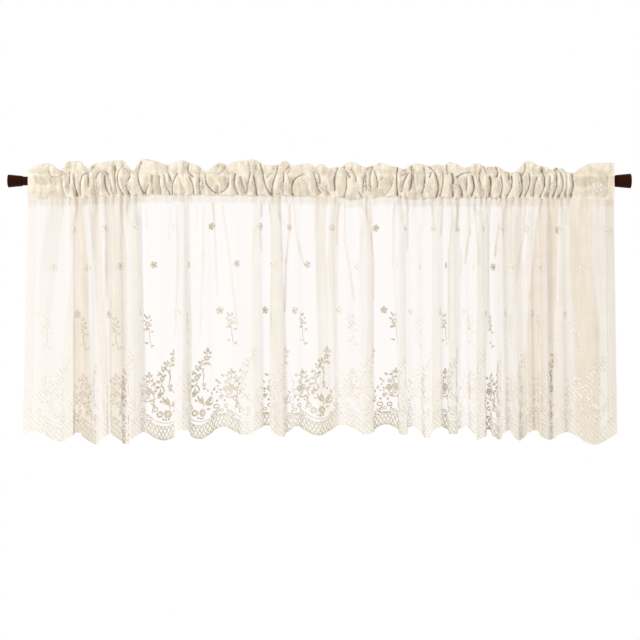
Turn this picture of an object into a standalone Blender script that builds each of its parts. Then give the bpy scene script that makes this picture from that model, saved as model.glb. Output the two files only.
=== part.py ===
"""Lace valance with a scalloped hem, gathered on a two-piece telescoping curtain rod.

The rod runs along +X from the flat face of the left end cap, which is the origin. The valance
hangs below it and shows its face towards -Y. Lengths are in millimetres up to the last step of
each builder, where MM turns them into the scene's metres.
"""

import math

import bmesh
import bpy
import numpy as np
from mathutils.geometry import delaunay_2d_cdt

MM = 0.001

# Rod and caps
INNER_TUBE_RADIUS = 7.25
OUTER_TUBE_RADIUS = 8.5
TUBE_WALL = 0.9
INNER_TUBE_SPAN = (8.5, 610.0)
OUTER_TUBE_SPAN = (530.0, 995.5)
ROD_LENGTH = 1006.0
PIECE_GAP = 0.3
CAP_RIM = 1.5
LEFT_CAP_LENGTH = 24.0
LEFT_CAP_RADII = (10.5, 8.35)
RIGHT_CAP_LENGTH = 25.5
RIGHT_CAP_RADII = (11.9, 9.7)
CAP_SOCKET_FLOOR = 8.0
CAP_BEVEL = 0.3
ROUND_STEPS = 32
POINT_WELD = 1e-6

# Cloth
CLOTH_HALF = 0.5
SIDE_HEM_HALF = 0.9
SIDE_HEM_WIDTH = 15.0
SKIRT_DROP = 396.0
STITCH_LEVEL = -30.0
TOP_LEVEL = 34.0
RUFFLE_START = 12.0
LAYER_OFFSET = 1.2
LAYER_OFFSET_DROP = 20.0
TURN_DEPTH = 2.0
BACK_HEM_LEVEL = -29.0
HEADING_RISE = TOP_LEVEL - STITCH_LEVEL
CLOTH_LEFT_TOP = 32.3
CLOTH_LEFT_HEM = 22.6
STITCH_SAG = 6.0
POCKET_CLEARANCE = 2.5
POCKET_REACH = OUTER_TUBE_RADIUS + POCKET_CLEARANCE
POCKET_FLAT = 9.5
POCKET_FOOT = -28.0
POCKET_HEAD = 21.0
NESTED_CENTRE = 6.0

# Gathers
GATHER_LENGTH = 38.0
GATHER_ANGLE = math.radians(77.0)
GATHER_FADE_DROP = 110.0
GATHER_PRESS = 0.6
GATHER_DEPTH = 11.0
GATHER_CROWN = 0.5
VALLEY_SWAY = 2.5
VALLEY_SWAY_TURN = 2.4
RUFFLE_SWAY = 3.0
RUFFLE_SWAY_LENGTH = 31.0
RUFFLE_LEAN = 4.0
RUFFLE_LEAN_LENGTH = 47.0
END_BOW = 4.0

# How a section is shaped and solved
RAMP_SHARE = 0.95
SIDE_SHARES = (0.08, 0.86)
FLAT_FOLD_SIDES = 0.2
STRAIGHTEST = 0.997
WIDEST_SCALE = 4.0
FOLD_SAMPLES = 64
SECTION_COUNT = 25
WIDTH_SOLVE_STEPS = 40
NORMAL_REACH = 0.02

# One row per fold of the skirt, from the left edge to the right. hem and heading are the widths
# that the fold takes up there, spare is the cloth tucked into it at the hem, angle is how far
# its sides turn, crown is the front's share of what the sides leave, and mid and edge are the
# heights of the ruffle above the rod's axis at the fold's middle and at its right end.
FOLD_COLUMNS = ("hem", "heading", "spare", "angle", "crown", "mid", "edge")
FOLD_ROWS = (
    (65, 60, 0.2, 60, 0.5, 29, 18),
    (23, 19, 16, 88, 0.6, 33, 30),
    (35, 32, 22, 95, 0.6, 23, 31),
    (19, 18, 15, 90, 0.6, 31, 33),
    (24, 23, 18, 100, 0.7, 34, 34),
    (34, 34, 26, 95, 0.6, 18, 35),
    (39, 40, 3, 60, 0.4, 36, 30),
    (42, 37, 31, 95, 0.6, 36, 31),
    (40, 42, 6, 60, 0.3, 17, 29),
    (42, 47, 9, 70, 0.4, 31, 33),
    (33, 32, 10, 80, 0.6, 36, 26),
    (36, 34, 32, 95, 0.65, 29, 33),
    (26, 26, 17, 80, 0.4, 24, 30),
    (26, 26, 1, 50, 0.5, 27, 27),
    (29, 29, 6, 80, 0.6, 21, 26),
    (26, 26, 1, 50, 0.5, 21, 31),
    (37, 37, 15, 88, 0.6, 19, 31),
    (29, 29, 3, 60, 0.4, 27, 24),
    (23, 21, 40, 98, 0.55, 21, 26),
    (27, 29, 28, 90, 0.4, 30, 25),
    (29, 29, 30, 95, 0.6, 29, 31),
    (24, 24, 32, 95, 0.6, 31, 29),
    (21, 21, 16, 85, 0.4, 22, 19),
    (26, 26, 46, 98, 0.6, 31, 23),
    (16, 16, 30, 95, 0.6, 24, 24),
    (16, 16, 30, 95, 0.5, 22, 18),
    (23, 23, 28, 92, 0.5, 17, 16),
    (23, 23, 17, 80, 0.6, 32, 31),
    (23, 23, 22, 95, 0.7, 25, 18),
    (32, 32, 12, 70, 0.4, 21, 16),
    (74, 73, 0.2, 60, 0.5, 30, 31),
)
LEFT_RUFFLE_HEIGHT = 20.0
FOLDS = {name: np.array([row[i] for row in FOLD_ROWS], float) for i, name in enumerate(FOLD_COLUMNS)}

# Scallops of the lace edge: their flat pitch and depth, and how low each hangs below the rod.
SCALLOP_PITCH = 88.9
FIRST_SCALLOP = 63.0
SCALLOP_DEPTH = 17.0
SCALLOP_LOWS = (
    421, 425.5, 425, 419, 417, 410, 413, 411, 409, 410, 415, 408.5, 418, 418, 419.5, 418.5, 426,
)

# Trellis cells cut through in each scallop: across from its low point, and up from the edge.
CELL_HALF_WIDTH = 4.8
CELL_HALF_HEIGHT = 4.4
CELL_PITCH = 11.1
CELL_BEND_LIMIT = math.radians(150.0)
CELL_ROWS = ((8.0, (-2, -1, 0, 1, 2)), (15.5, (-1.5, -0.5, 0.5, 1.5)))

# Rows of points of the cloth: up the skirt, and up and down the heading.
HEM_SIDE_ROW = 24.0
HEM_STRIP_TOP = 50.0
FOLD_STRIP_TOP = 300.0
GATHER_ROW = 348.0
FRONT_LEVELS = (-9.0, 9.0, 22.0, 33.0)
BACK_LEVELS = (33.0, 22.0, 1.0, BACK_HEM_LEVEL)
HEM_POINT_SPACING = 2.5
FLAT_SNAP = 0.01
RISING_HALVES = ((0, 1, 2), (0, 2, 3))
FALLING_HALVES = ((0, 1, 3), (1, 2, 3))

# Finishes: colour, roughness and metallic share
CLOTH_FINISH = ((0.86, 0.80, 0.68), 0.9, 0.0)
TUBE_FINISH = ((0.03, 0.008, 0.004), 0.3, 0.4)
CAP_FINISH = ((0.035, 0.006, 0.003), 0.35, 0.0)
CLOTH_SHARP_ANGLE = math.radians(50.0)
ROUND_SHARP_ANGLE = math.radians(40.0)


def smooth(share):
    """Soft step from 0 to 1."""
    share = np.clip(share, 0.0, 1.0)
    return share * share * (3.0 - 2.0 * share)


FOLD_COUNT = len(FOLD_ROWS)
FLAT_LENGTHS = FOLDS["hem"] + FOLDS["spare"]
FLAT_STARTS = np.concatenate(([0.0], np.cumsum(FLAT_LENGTHS)))
FLAT_WIDTH = FLAT_STARTS[-1]
GATHERS = np.maximum(1, np.round(FLAT_LENGTHS / GATHER_LENGTH)).astype(int)


def angle_wave(share, sides, crown):
    """One fold as the turning of its section: out to the front, along the crown, and back."""
    rest = 1.0 - sides
    base = rest * (1.0 - crown)
    ramp = np.minimum(rest * crown, base) * RAMP_SHARE
    marks = (base / 2, base / 2 + sides / 2, 1 - base / 2 - sides / 2, 1 - base / 2)
    steps = [smooth((share - mark) / ramp + 0.5) for mark in marks]
    return steps[0] - steps[1] - steps[2] + steps[3]


def side_share(ratio, angle):
    """Share of a fold's cloth in its two sides, when they turn by that angle."""
    return np.clip((1.0 - ratio) / (1.0 - np.cos(angle)), *SIDE_SHARES)


def section_at(height):
    """Plan of the cloth at a share of the skirt's height: hung x, y and turning along the flat.

    Each fold's angles are scaled until the fold takes up its own width, so the length of the
    cloth along the section stays the flat length.
    """
    share = (np.arange(FOLD_SAMPLES) + 0.5) / FOLD_SAMPLES
    share = share[None, :]
    widths = FOLDS["hem"] + (FOLDS["heading"] - FOLDS["hem"]) * height
    ratio = np.minimum(widths / FLAT_LENGTHS, STRAIGHTEST)[:, None]
    fold_angle = np.radians(FOLDS["angle"])[:, None]
    fold_wave = fold_angle * angle_wave(share, side_share(ratio, fold_angle), FOLDS["crown"][:, None])
    gather_share = (share * GATHERS[:, None]) % 1.0
    gather_wave = GATHER_ANGLE * angle_wave(gather_share, side_share(ratio, GATHER_ANGLE), GATHER_CROWN)
    gathered = smooth(1.0 - (1.0 - height) * SKIRT_DROP / GATHER_FADE_DROP)
    wave = (1.0 - gathered) * fold_wave + gathered * gather_wave
    low = np.zeros((FOLD_COUNT, 1))
    high = np.full((FOLD_COUNT, 1), WIDEST_SCALE)
    for _ in range(WIDTH_SOLVE_STEPS):
        scale = (low + high) / 2
        too_wide = np.cos(scale * wave).mean(axis=1, keepdims=True) > ratio
        low = np.where(too_wide, scale, low)
        high = np.where(too_wide, high, scale)
    turn = scale * wave
    step = FLAT_LENGTHS[:, None] / FOLD_SAMPLES
    start = np.zeros((FOLD_COUNT, 1))
    along = np.concatenate((start, np.cumsum(np.cos(turn) * step, axis=1)), axis=1)
    front = np.concatenate((start, np.cumsum(np.sin(turn) * step, axis=1)), axis=1)
    line = np.linspace(0.0, 1.0, FOLD_SAMPLES + 1)[None, :]
    front = (front - front[:, -1:] * line) * (1.0 - (1.0 - GATHER_PRESS) * gathered)
    starts = np.concatenate(([0.0], np.cumsum(along[:, -1])[:-1]))
    left = CLOTH_LEFT_HEM + (CLOTH_LEFT_TOP - CLOTH_LEFT_HEM) * height
    joints = VALLEY_SWAY * np.sin(VALLEY_SWAY_TURN * np.arange(FOLD_COUNT + 1))
    valley = joints[:-1, None] * (1 - line) + joints[1:, None] * line
    x = left + starts[:, None] + along
    y = NESTED_CENTRE + valley - front
    y[0] -= END_BOW * np.sin(math.pi * line[0])
    y[-1] -= END_BOW * np.sin(math.pi * line[0])
    return x, y


SECTION_HEIGHTS = np.linspace(0.0, 1.0, SECTION_COUNT)
SECTIONS = [section_at(height) for height in SECTION_HEIGHTS]
SECTION_X = np.array([section[0] for section in SECTIONS])
SECTION_Y = np.array([section[1] for section in SECTIONS])


def section_point(flat, height):
    """Hung x and y of flat positions at shares of the skirt's height."""
    fold = np.clip(np.searchsorted(FLAT_STARTS, flat, side="right") - 1, 0, FOLD_COUNT - 1)
    spot = (flat - FLAT_STARTS[fold]) / FLAT_LENGTHS[fold] * FOLD_SAMPLES
    column = np.clip(spot.astype(int), 0, FOLD_SAMPLES - 1)
    across = spot - column
    level = np.clip(height, 0.0, 1.0) * (len(SECTION_HEIGHTS) - 1)
    row = np.clip(level.astype(int), 0, len(SECTION_HEIGHTS) - 2)
    up = level - row
    found = []
    for grid in (SECTION_X, SECTION_Y):
        lower = grid[row, fold, column] * (1 - across) + grid[row, fold, column + 1] * across
        upper = grid[row + 1, fold, column] * (1 - across) + grid[row + 1, fold, column + 1] * across
        found.append(lower * (1 - up) + upper * up)
    return found


def edge_height(flat):
    """Height of the scalloped edge over its low points."""
    return SCALLOP_DEPTH * (0.5 - 0.5 * np.cos(2 * math.pi * (flat - FIRST_SCALLOP) / SCALLOP_PITCH))


def ruffle_height(flat):
    """Height of the ruffle's fold above the rod's axis."""
    middles = (FLAT_STARTS[:-1] + FLAT_STARTS[1:]) / 2
    spots = np.empty(2 * FOLD_COUNT + 1)
    spots[0::2] = FLAT_STARTS
    spots[1::2] = middles
    heights = np.empty(2 * FOLD_COUNT + 1)
    heights[0] = LEFT_RUFFLE_HEIGHT
    heights[1::2] = FOLDS["mid"]
    heights[2::2] = FOLDS["edge"]
    return np.interp(flat, spots, heights)


def heading_level(rise):
    """Level in the heading for a rise along the cloth above the stitch line, and its side."""
    behind = rise > HEADING_RISE
    level = np.where(behind, TOP_LEVEL - (rise - HEADING_RISE), STITCH_LEVEL + rise)
    return level, behind


def place(flat, drop):
    """Middle of the cloth at flat positions: across, and up from the scallops' low points.

    Past the stitch line the cloth goes up in front of the rod, folds over at the ruffle's top and
    comes down behind the rod.
    """
    flat = np.clip(flat, 0.0, FLAT_WIDTH)
    height = drop / SKIRT_DROP
    x, y = section_point(flat, height)
    ahead_x, ahead_y = section_point(np.minimum(flat + NORMAL_REACH, FLAT_WIDTH), height)
    back_x, back_y = section_point(np.maximum(flat - NORMAL_REACH, 0.0), height)
    run = np.hypot(ahead_x - back_x, ahead_y - back_y)
    normal_x = (ahead_y - back_y) / run
    normal_y = -(ahead_x - back_x) / run
    half_width = FOLDS["heading"].sum() / 2
    off_middle = (x - CLOTH_LEFT_TOP - half_width) / half_width
    stitch = STITCH_LEVEL + STITCH_SAG * (1.0 - off_middle**2)
    lows = FIRST_SCALLOP + SCALLOP_PITCH * np.arange(len(SCALLOP_LOWS))
    low = -np.interp(flat, lows, SCALLOP_LOWS)
    skirt_z = low + (stitch - low) * np.minimum(height, 1.0)
    level, behind = heading_level(np.maximum(drop - SKIRT_DROP, 0.0))
    stretch = (ruffle_height(flat) - RUFFLE_START) / (TOP_LEVEL - RUFFLE_START)
    raised = RUFFLE_START + (level - RUFFLE_START) * stretch
    heading_z = np.where(level < 0, level * stitch / STITCH_LEVEL, np.minimum(level, RUFFLE_START))
    heading_z = np.where(level > RUFFLE_START, raised, heading_z)
    z = np.where(drop < SKIRT_DROP, skirt_z, heading_z)
    opened = smooth((level - POCKET_FOOT) / (-POCKET_FLAT - POCKET_FOOT))
    opened = opened * (1.0 - smooth((level - POCKET_FLAT) / (POCKET_HEAD - POCKET_FLAT)))
    side = np.where(behind, 1.0, -1.0)
    nested = np.where(behind, GATHER_DEPTH - NESTED_CENTRE, NESTED_CENTRE)
    reach_out = POCKET_REACH + VALLEY_SWAY + nested
    before_turn = np.clip(1.0 - (TOP_LEVEL - level) / TURN_DEPTH, 0.0, 1.0)
    started = smooth((drop - SKIRT_DROP) / LAYER_OFFSET_DROP + 1.0)
    offset = -side * LAYER_OFFSET * np.sqrt(1.0 - before_turn**2) * started
    ruffled = np.clip((level - RUFFLE_START) / (TOP_LEVEL - RUFFLE_START), 0.0, 1.0)
    sway = RUFFLE_SWAY * np.sin(flat / RUFFLE_SWAY_LENGTH + 1.0)
    lean = RUFFLE_LEAN * np.sin(flat / RUFFLE_LEAN_LENGTH)
    x = x + normal_x * offset + sway * ruffled
    y = y + normal_y * offset + side * reach_out * opened + lean * ruffled
    return np.stack((x, y, z), axis=-1)


def fold_columns():
    """Flat positions that follow each fold's own bends."""
    columns = [0.0]
    for start, length, hem, angle, crown in zip(
        FLAT_STARTS, FLAT_LENGTHS, FOLDS["hem"], FOLDS["angle"], FOLDS["crown"]
    ):
        sides = float(side_share(hem / length, math.radians(angle)))
        rest = 1.0 - sides
        base = rest * (1.0 - crown) / 2
        marks = (base, base + sides / 2, 0.5)
        shares = marks + tuple(1.0 - mark for mark in reversed(marks[:-1])) + (1.0,)
        if sides < FLAT_FOLD_SIDES:
            shares = (0.25, 0.5, 0.75, 1.0)
        columns.extend(start + length * share for share in shares)
    return np.array(columns)


def gather_columns():
    """Flat positions of each gather's valley, sides and crest."""
    columns = [0.0]
    for start, length, gathers in zip(FLAT_STARTS, FLAT_LENGTHS, GATHERS):
        shares = (np.arange(4 * gathers) + 1.0) / (4 * gathers)
        columns.extend(start + length * shares)
    return np.array(columns)


def bend_across(flat):
    """How far the hem turns, in radians, between the two sides of a cell."""
    spots = flat + np.array([-1.5, -0.5, 0.5, 1.5]) * CELL_HALF_WIDTH
    x, y = section_point(spots, np.zeros(len(spots)))
    turns = np.unwrap(np.arctan2(np.diff(y), np.diff(x)))
    return turns.max() - turns.min()


def trellis_cells():
    """Outlines of the cut cells in the flat cloth, each a diamond over its scallop's edge."""
    cells = []
    for scallop in range(len(SCALLOP_LOWS)):
        low = FIRST_SCALLOP + scallop * SCALLOP_PITCH
        for rise, steps in CELL_ROWS:
            for step in steps:
                across = low + step * CELL_PITCH
                if across + CELL_HALF_WIDTH + SIDE_HEM_WIDTH > FLAT_WIDTH:
                    continue
                if bend_across(across) > CELL_BEND_LIMIT:
                    continue
                up = edge_height(across) + rise
                cells.append([
                    (across - CELL_HALF_WIDTH, up),
                    (across, up - CELL_HALF_HEIGHT),
                    (across + CELL_HALF_WIDTH, up),
                    (across, up + CELL_HALF_HEIGHT),
                ])
    return cells


def triangulated(points, edges):
    """Triangles over flat points that keep the edges, with the points used."""
    _, _, faces, origins, *_ = delaunay_2d_cdt(points, edges, [], 0, FLAT_SNAP)
    used = np.array([points[origin[0]] for origin in origins])
    return used, np.array([list(face) for face in faces])


def ring(start, count):
    """Edges that close a loop of points numbered from start."""
    return [(start + i, start + (i + 1) % count) for i in range(count)]


def hem_strip(folds):
    """Pattern from the scalloped edge up to the straight rows, with the trellis cells open."""
    turns = np.arange(FIRST_SCALLOP - SCALLOP_PITCH / 2, FLAT_WIDTH, SCALLOP_PITCH / 2)
    near = np.abs(folds[:, None] - turns[None, :]).min(axis=1)
    hem = np.sort(np.concatenate((turns, folds[near > HEM_POINT_SPACING])))
    points = [(flat, float(edge_height(flat))) for flat in hem]
    points += [(folds[-1], HEM_SIDE_ROW)]
    points += [(flat, HEM_STRIP_TOP) for flat in folds[::-1]]
    points += [(folds[0], HEM_SIDE_ROW)]
    edges = ring(0, len(points))
    cells = trellis_cells()
    for cell in cells:
        edges += ring(len(points), len(cell))
        points += cell
    used, faces = triangulated(points, edges)
    middles = used[faces].mean(axis=1)
    kept = middles[:, 1] > np.interp(middles[:, 0], hem, edge_height(hem))
    for cell in np.array(cells):
        away = np.abs(middles - cell.mean(axis=0)) / (CELL_HALF_WIDTH, CELL_HALF_HEIGHT)
        kept &= away.sum(axis=1) > 1.0
    return used, faces[kept]


def change_strip(folds, gathers):
    """Pattern where the columns change from the skirt's folds to the heading's gathers."""
    points = [(flat, FOLD_STRIP_TOP) for flat in folds]
    points += [(gathers[-1], GATHER_ROW)]
    points += [(flat, SKIRT_DROP) for flat in gathers[::-1]]
    points += [(gathers[0], GATHER_ROW)]
    edges = ring(0, len(points))
    points += [(flat, GATHER_ROW) for flat in gathers[1:-1]]
    return triangulated(points, edges)


def grid_strip(columns, low, high, halves):
    """Pattern of quads between two straight rows, each cut into two halves."""
    count = len(columns)
    points = np.concatenate([np.column_stack((columns, np.full(count, row))) for row in (low, high)])
    left = np.arange(count - 1)
    corners = (left, left + 1, left + 1 + count, left + count)
    faces = [np.column_stack([corners[i] for i in half]) for half in halves]
    return points, np.concatenate(faces)


def cloth_pattern():
    """Points and triangles of the whole flat cloth.

    The heading's quads are cut along the same diagonal in front of the rod and behind it, so the
    two layers stay parallel where they touch.
    """
    folds = fold_columns()
    gathers = gather_columns()
    rises = [level - STITCH_LEVEL for level in (STITCH_LEVEL, *FRONT_LEVELS)]
    rises += [HEADING_RISE + TOP_LEVEL - level for level in BACK_LEVELS]
    strips = [
        hem_strip(folds),
        grid_strip(folds, HEM_STRIP_TOP, FOLD_STRIP_TOP, RISING_HALVES),
        change_strip(folds, gathers),
    ]
    for number, (low, high) in enumerate(zip(rises[:-1], rises[1:])):
        halves = RISING_HALVES if number < len(FRONT_LEVELS) else FALLING_HALVES
        strips.append(grid_strip(gathers, SKIRT_DROP + low, SKIRT_DROP + high, halves))
    points = np.concatenate([strip[0] for strip in strips])
    starts = np.cumsum([0] + [len(strip[0]) for strip in strips[:-1]])
    faces = np.concatenate([strip[1] + start for strip, start in zip(strips, starts)])
    _, first, index = np.unique(points, axis=0, return_index=True, return_inverse=True)
    return points[first], index.reshape(-1)[faces]


def cloth_thickness(flat):
    """Half the cloth's thickness, more where the side hems are turned in."""
    from_side = np.minimum(flat, FLAT_WIDTH - flat)
    return np.where(from_side < SIDE_HEM_WIDTH, SIDE_HEM_HALF, CLOTH_HALF)


def point_normals(points, faces):
    """Normals of the points of a triangle mesh, each the mean of its faces'."""
    corners = points[faces]
    face_normal = np.cross(corners[:, 1] - corners[:, 0], corners[:, 2] - corners[:, 0])
    face_normal /= np.linalg.norm(face_normal, axis=1, keepdims=True)
    normals = np.zeros_like(points)
    for corner in range(3):
        ahead = corners[:, (corner + 1) % 3] - corners[:, corner]
        behind = corners[:, (corner + 2) % 3] - corners[:, corner]
        lengths = np.linalg.norm(ahead, axis=1) * np.linalg.norm(behind, axis=1)
        spread = np.arccos(np.clip((ahead * behind).sum(axis=1) / lengths, -1.0, 1.0))
        np.add.at(normals, faces[:, corner], face_normal * spread[:, None])
    return normals / np.linalg.norm(normals, axis=1, keepdims=True)


def open_edges(faces):
    """Edges with a face on one side only, in the direction of that face."""
    ends = np.concatenate((faces[:, [0, 1]], faces[:, [1, 2]], faces[:, [2, 0]]))
    keys = np.sort(ends, axis=1)
    _, index, count = np.unique(keys, axis=0, return_inverse=True, return_counts=True)
    return ends[count[index.reshape(-1)] == 1]


def build_cloth():
    """The valance: one sheet from the back hem of the heading to the scalloped edge."""
    pattern, faces = cloth_pattern()
    middle = place(pattern[:, 0], pattern[:, 1])
    normal = point_normals(middle, faces)
    half = cloth_thickness(pattern[:, 0])[:, None]
    points = np.concatenate((middle + normal * half, middle - normal * half)) * MM
    count = len(pattern)
    rim = open_edges(faces)
    walls = [(b, a, a + count, b + count) for a, b in rim]
    shell = [tuple(face) for face in faces] + [tuple(face[::-1] + count) for face in faces] + walls
    return add_mesh("valance_cloth", [tuple(point) for point in points], shell)


def add_mesh(name, points, faces):
    """New object from points in metres and faces, all of it triangles."""
    mesh = bpy.data.meshes.new(name)
    mesh.from_pydata(points, [], faces)
    work = bmesh.new()
    work.from_mesh(mesh)
    bmesh.ops.triangulate(work, faces=work.faces[:])
    work.to_mesh(mesh)
    work.free()
    mesh.shade_smooth()
    mesh.set_sharp_from_angle(angle=CLOTH_SHARP_ANGLE)
    piece = bpy.data.objects.new(name, mesh)
    bpy.context.scene.collection.objects.link(piece)
    return piece


def turned(name, profile):
    """Round solid about the rod's axis from a closed profile of (x, radius) pairs."""
    work = bmesh.new()
    corners = [work.verts.new((x * MM, 0.0, radius * MM)) for x, radius in profile]
    rim = [work.edges.new((corners[i - 1], corners[i])) for i in range(len(corners))]
    bmesh.ops.spin(
        work,
        geom=corners + rim,
        cent=(0, 0, 0),
        axis=(1, 0, 0),
        angle=2 * math.pi,
        steps=ROUND_STEPS,
        use_merge=True,
    )
    bmesh.ops.remove_doubles(work, verts=work.verts[:], dist=POINT_WELD)
    bmesh.ops.recalc_face_normals(work, faces=work.faces[:])
    mesh = bpy.data.meshes.new(name)
    work.to_mesh(mesh)
    work.free()
    mesh.shade_smooth()
    mesh.set_sharp_from_angle(angle=ROUND_SHARP_ANGLE)
    piece = bpy.data.objects.new(name, mesh)
    bpy.context.scene.collection.objects.link(piece)
    return piece


def build_tube(name, span, radius):
    """One straight tube of the rod."""
    start, end = span
    bore = radius - TUBE_WALL
    return turned(name, [(start, bore), (end, bore), (end, radius), (start, radius)])


def build_cap(name, length, radii, tube_radius, face, inward):
    """End cap: a tapered cup with a flat face, slipped over the end of a tube."""
    outer, mouth = radii
    socket = tube_radius + PIECE_GAP
    profile = (
        (0.0, 0.0),
        (0.0, outer - CAP_RIM),
        (CAP_RIM * CAP_BEVEL, outer - CAP_RIM * CAP_BEVEL),
        (CAP_RIM, outer),
        (length - CAP_RIM / 2, mouth),
        (length, mouth - CAP_RIM / 3),
        (length, socket),
        (CAP_SOCKET_FLOOR, socket),
        (CAP_SOCKET_FLOOR, 0.0),
    )
    return turned(name, [(face + inward * depth, radius) for depth, radius in profile])


def finish(piece, name, colour, roughness, metallic):
    """Principled material in the piece's own colour."""
    material = bpy.data.materials.new(name)
    material.use_nodes = True
    shader = material.node_tree.nodes["Principled BSDF"]
    shader.inputs["Base Color"].default_value = (*colour, 1.0)
    shader.inputs["Roughness"].default_value = roughness
    shader.inputs["Metallic"].default_value = metallic
    material.diffuse_color = (*colour, 1.0)
    piece.data.materials.append(material)


def main():
    for piece in list(bpy.data.objects):
        bpy.data.objects.remove(piece, do_unlink=True)
    cloth = build_cloth()
    inner = build_tube("rod_inner_tube", INNER_TUBE_SPAN, INNER_TUBE_RADIUS)
    outer = build_tube("rod_outer_tube", OUTER_TUBE_SPAN, OUTER_TUBE_RADIUS)
    left = build_cap("end_cap_left", LEFT_CAP_LENGTH, LEFT_CAP_RADII, INNER_TUBE_RADIUS, 0.0, 1)
    right = build_cap(
        "end_cap_right", RIGHT_CAP_LENGTH, RIGHT_CAP_RADII, OUTER_TUBE_RADIUS, ROD_LENGTH, -1
    )
    finish(cloth, "ivory_lace", *CLOTH_FINISH)
    finish(inner, "brown_enamel_inner", *TUBE_FINISH)
    finish(outer, "brown_enamel_outer", *TUBE_FINISH)
    finish(left, "brown_cap_left", *CAP_FINISH)
    finish(right, "brown_cap_right", *CAP_FINISH)


main()
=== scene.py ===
"""Dresses the lace valance and its rod: net, lace border, sprigs, hems, stitches and enamel.

Every cloth piece is worked out in the flat cloth first, as a distance across it and a height
above the scallops' low points, both in millimetres. One drape then carries it to where it hangs.
"""

import logging
import math
from dataclasses import dataclass, field
from enum import Enum

import bpy
import numpy as np
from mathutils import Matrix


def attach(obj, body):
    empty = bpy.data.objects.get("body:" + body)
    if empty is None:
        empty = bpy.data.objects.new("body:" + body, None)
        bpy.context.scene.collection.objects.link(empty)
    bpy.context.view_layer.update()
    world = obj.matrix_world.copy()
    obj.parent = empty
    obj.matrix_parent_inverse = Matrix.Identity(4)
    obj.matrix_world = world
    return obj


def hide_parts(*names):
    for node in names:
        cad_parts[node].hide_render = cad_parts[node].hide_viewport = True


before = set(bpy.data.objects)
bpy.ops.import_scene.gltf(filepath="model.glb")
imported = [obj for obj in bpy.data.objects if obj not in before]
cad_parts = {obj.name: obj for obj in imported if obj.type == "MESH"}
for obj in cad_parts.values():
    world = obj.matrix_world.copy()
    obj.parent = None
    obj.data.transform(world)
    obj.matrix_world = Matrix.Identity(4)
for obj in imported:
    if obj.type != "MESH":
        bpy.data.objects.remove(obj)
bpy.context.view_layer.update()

MM = 0.001
TINY = 1e-9
BUMP_HEIGHT = 0.0002
LOG = logging.getLogger("valance")
Array = np.ndarray
Chart = dict[str, Array]
Colour = tuple[float, float, float, float]
Material = bpy.types.Material
Piece = bpy.types.Object
Socket = bpy.types.NodeSocket


class Layer(Enum):
    """Which stretch of the cloth a ground sheet covers."""

    SKIRT = "skirt"
    HEADING = "heading"


def chart(names: str, *rows: tuple[float, ...]) -> Chart:
    """A table as one array for each of its named columns."""
    return dict(zip(names.split(), np.array(rows, float).T))


def upright(rows: Chart) -> list[Array]:
    """A chart's columns in their order, each as an array of one column."""
    return [values[:, None] for values in rows.values()]


def line_distance(
    x: Array, z: Array, foot: tuple[float, float], head: tuple[float, float], bow: float = 0.0
) -> tuple[Array, Array]:
    """Distance from points to a line that bows sideways by 4 bow s (1 - s).

    Args:
        x: places of the points.
        z: their heights.
        foot: place and height of the line's lower end.
        head: place and height of its upper end.
        bow: sideways bow of its middle.

    Returns:
        Distances, and how far up the line the nearest spot is.
    """
    run, rise = head[0] - foot[0], head[1] - foot[1]
    length = math.hypot(run, rise)
    off_x, off_z = x - foot[0], z - foot[1]
    s = np.clip((off_x * run + off_z * rise) / length**2, 0.0, 1.0)
    side = bow * 4 * s * (1 - s) / length
    return np.hypot(off_x - run * s - rise * side, off_z - rise * s + run * side), s * length


def smooth(share: Array) -> Array:
    """Soft step from 0 to 1: 3 s squared minus 2 s cubed, held at both ends."""
    share = np.clip(share, 0.0, 1.0)
    return share * share * (3.0 - 2.0 * share)


def step_at(value: Array, place: Array, width: float) -> Array:
    """Soft step of a value from 0 to 1, half done at a place and all done over a width."""
    return smooth((value - place) / width + 0.5)


def linear(red: int, green: int, blue: int) -> Colour:
    """Colour picker values from 0 to 255 as the shader's linear colour, with an alpha of 1."""
    shares = [value / 255.0 for value in (red, green, blue)]
    return *(s / 12.92 if s <= 0.04045 else ((s + 0.055) / 1.055) ** 2.4 for s in shares), 1.0


# One row per fold of the skirt, left to right: hung widths at the hem and at the heading, cloth
# tucked in, how far the sides turn in degrees, the front's share, the gathers that the fold makes
# at the heading and how far under it they fade.
FOLDS = chart(
    "hem heading spare angle crown gathers fade",
    (65, 60, 0.2, 60, 0.5, 2, 25), (23, 19, 16, 88, 0.6, 2, 40), (35, 32, 22, 95, 0.6, 2, 29),
    (19, 18, 15, 90, 0.6, 1, 50), (24, 23, 18, 100, 0.7, 2, 34), (34, 34, 26, 95, 0.6, 3, 63),
    (39, 40, 3, 60, 0.4, 1, 38), (42, 37, 31, 95, 0.6, 3, 25), (40, 42, 6, 60, 0.3, 2, 59),
    (42, 47, 9, 70, 0.4, 3, 46), (33, 32, 10, 80, 0.6, 2, 32), (36, 34, 32, 95, 0.65, 3, 55),
    (26, 26, 17, 80, 0.4, 2, 38), (26, 26, 1, 50, 0.5, 1, 25), (29, 29, 6, 80, 0.6, 2, 50),
    (26, 26, 1, 50, 0.5, 2, 36), (37, 37, 15, 88, 0.6, 3, 63), (29, 29, 3, 60, 0.4, 1, 29),
    (23, 21, 40, 98, 0.55, 2, 42), (27, 29, 28, 90, 0.4, 2, 67), (29, 29, 30, 95, 0.6, 2, 34),
    (24, 24, 32, 95, 0.6, 2, 50), (21, 21, 16, 85, 0.4, 1, 29), (26, 26, 46, 98, 0.6, 3, 59),
    (16, 16, 30, 95, 0.6, 2, 38), (16, 16, 30, 95, 0.5, 2, 25), (23, 23, 28, 92, 0.5, 2, 46),
    (23, 23, 17, 80, 0.6, 2, 34), (23, 23, 22, 95, 0.7, 2, 55), (32, 32, 12, 70, 0.4, 3, 38),
    (74, 73, 0.2, 60, 0.5, 2, 29),
)

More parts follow.
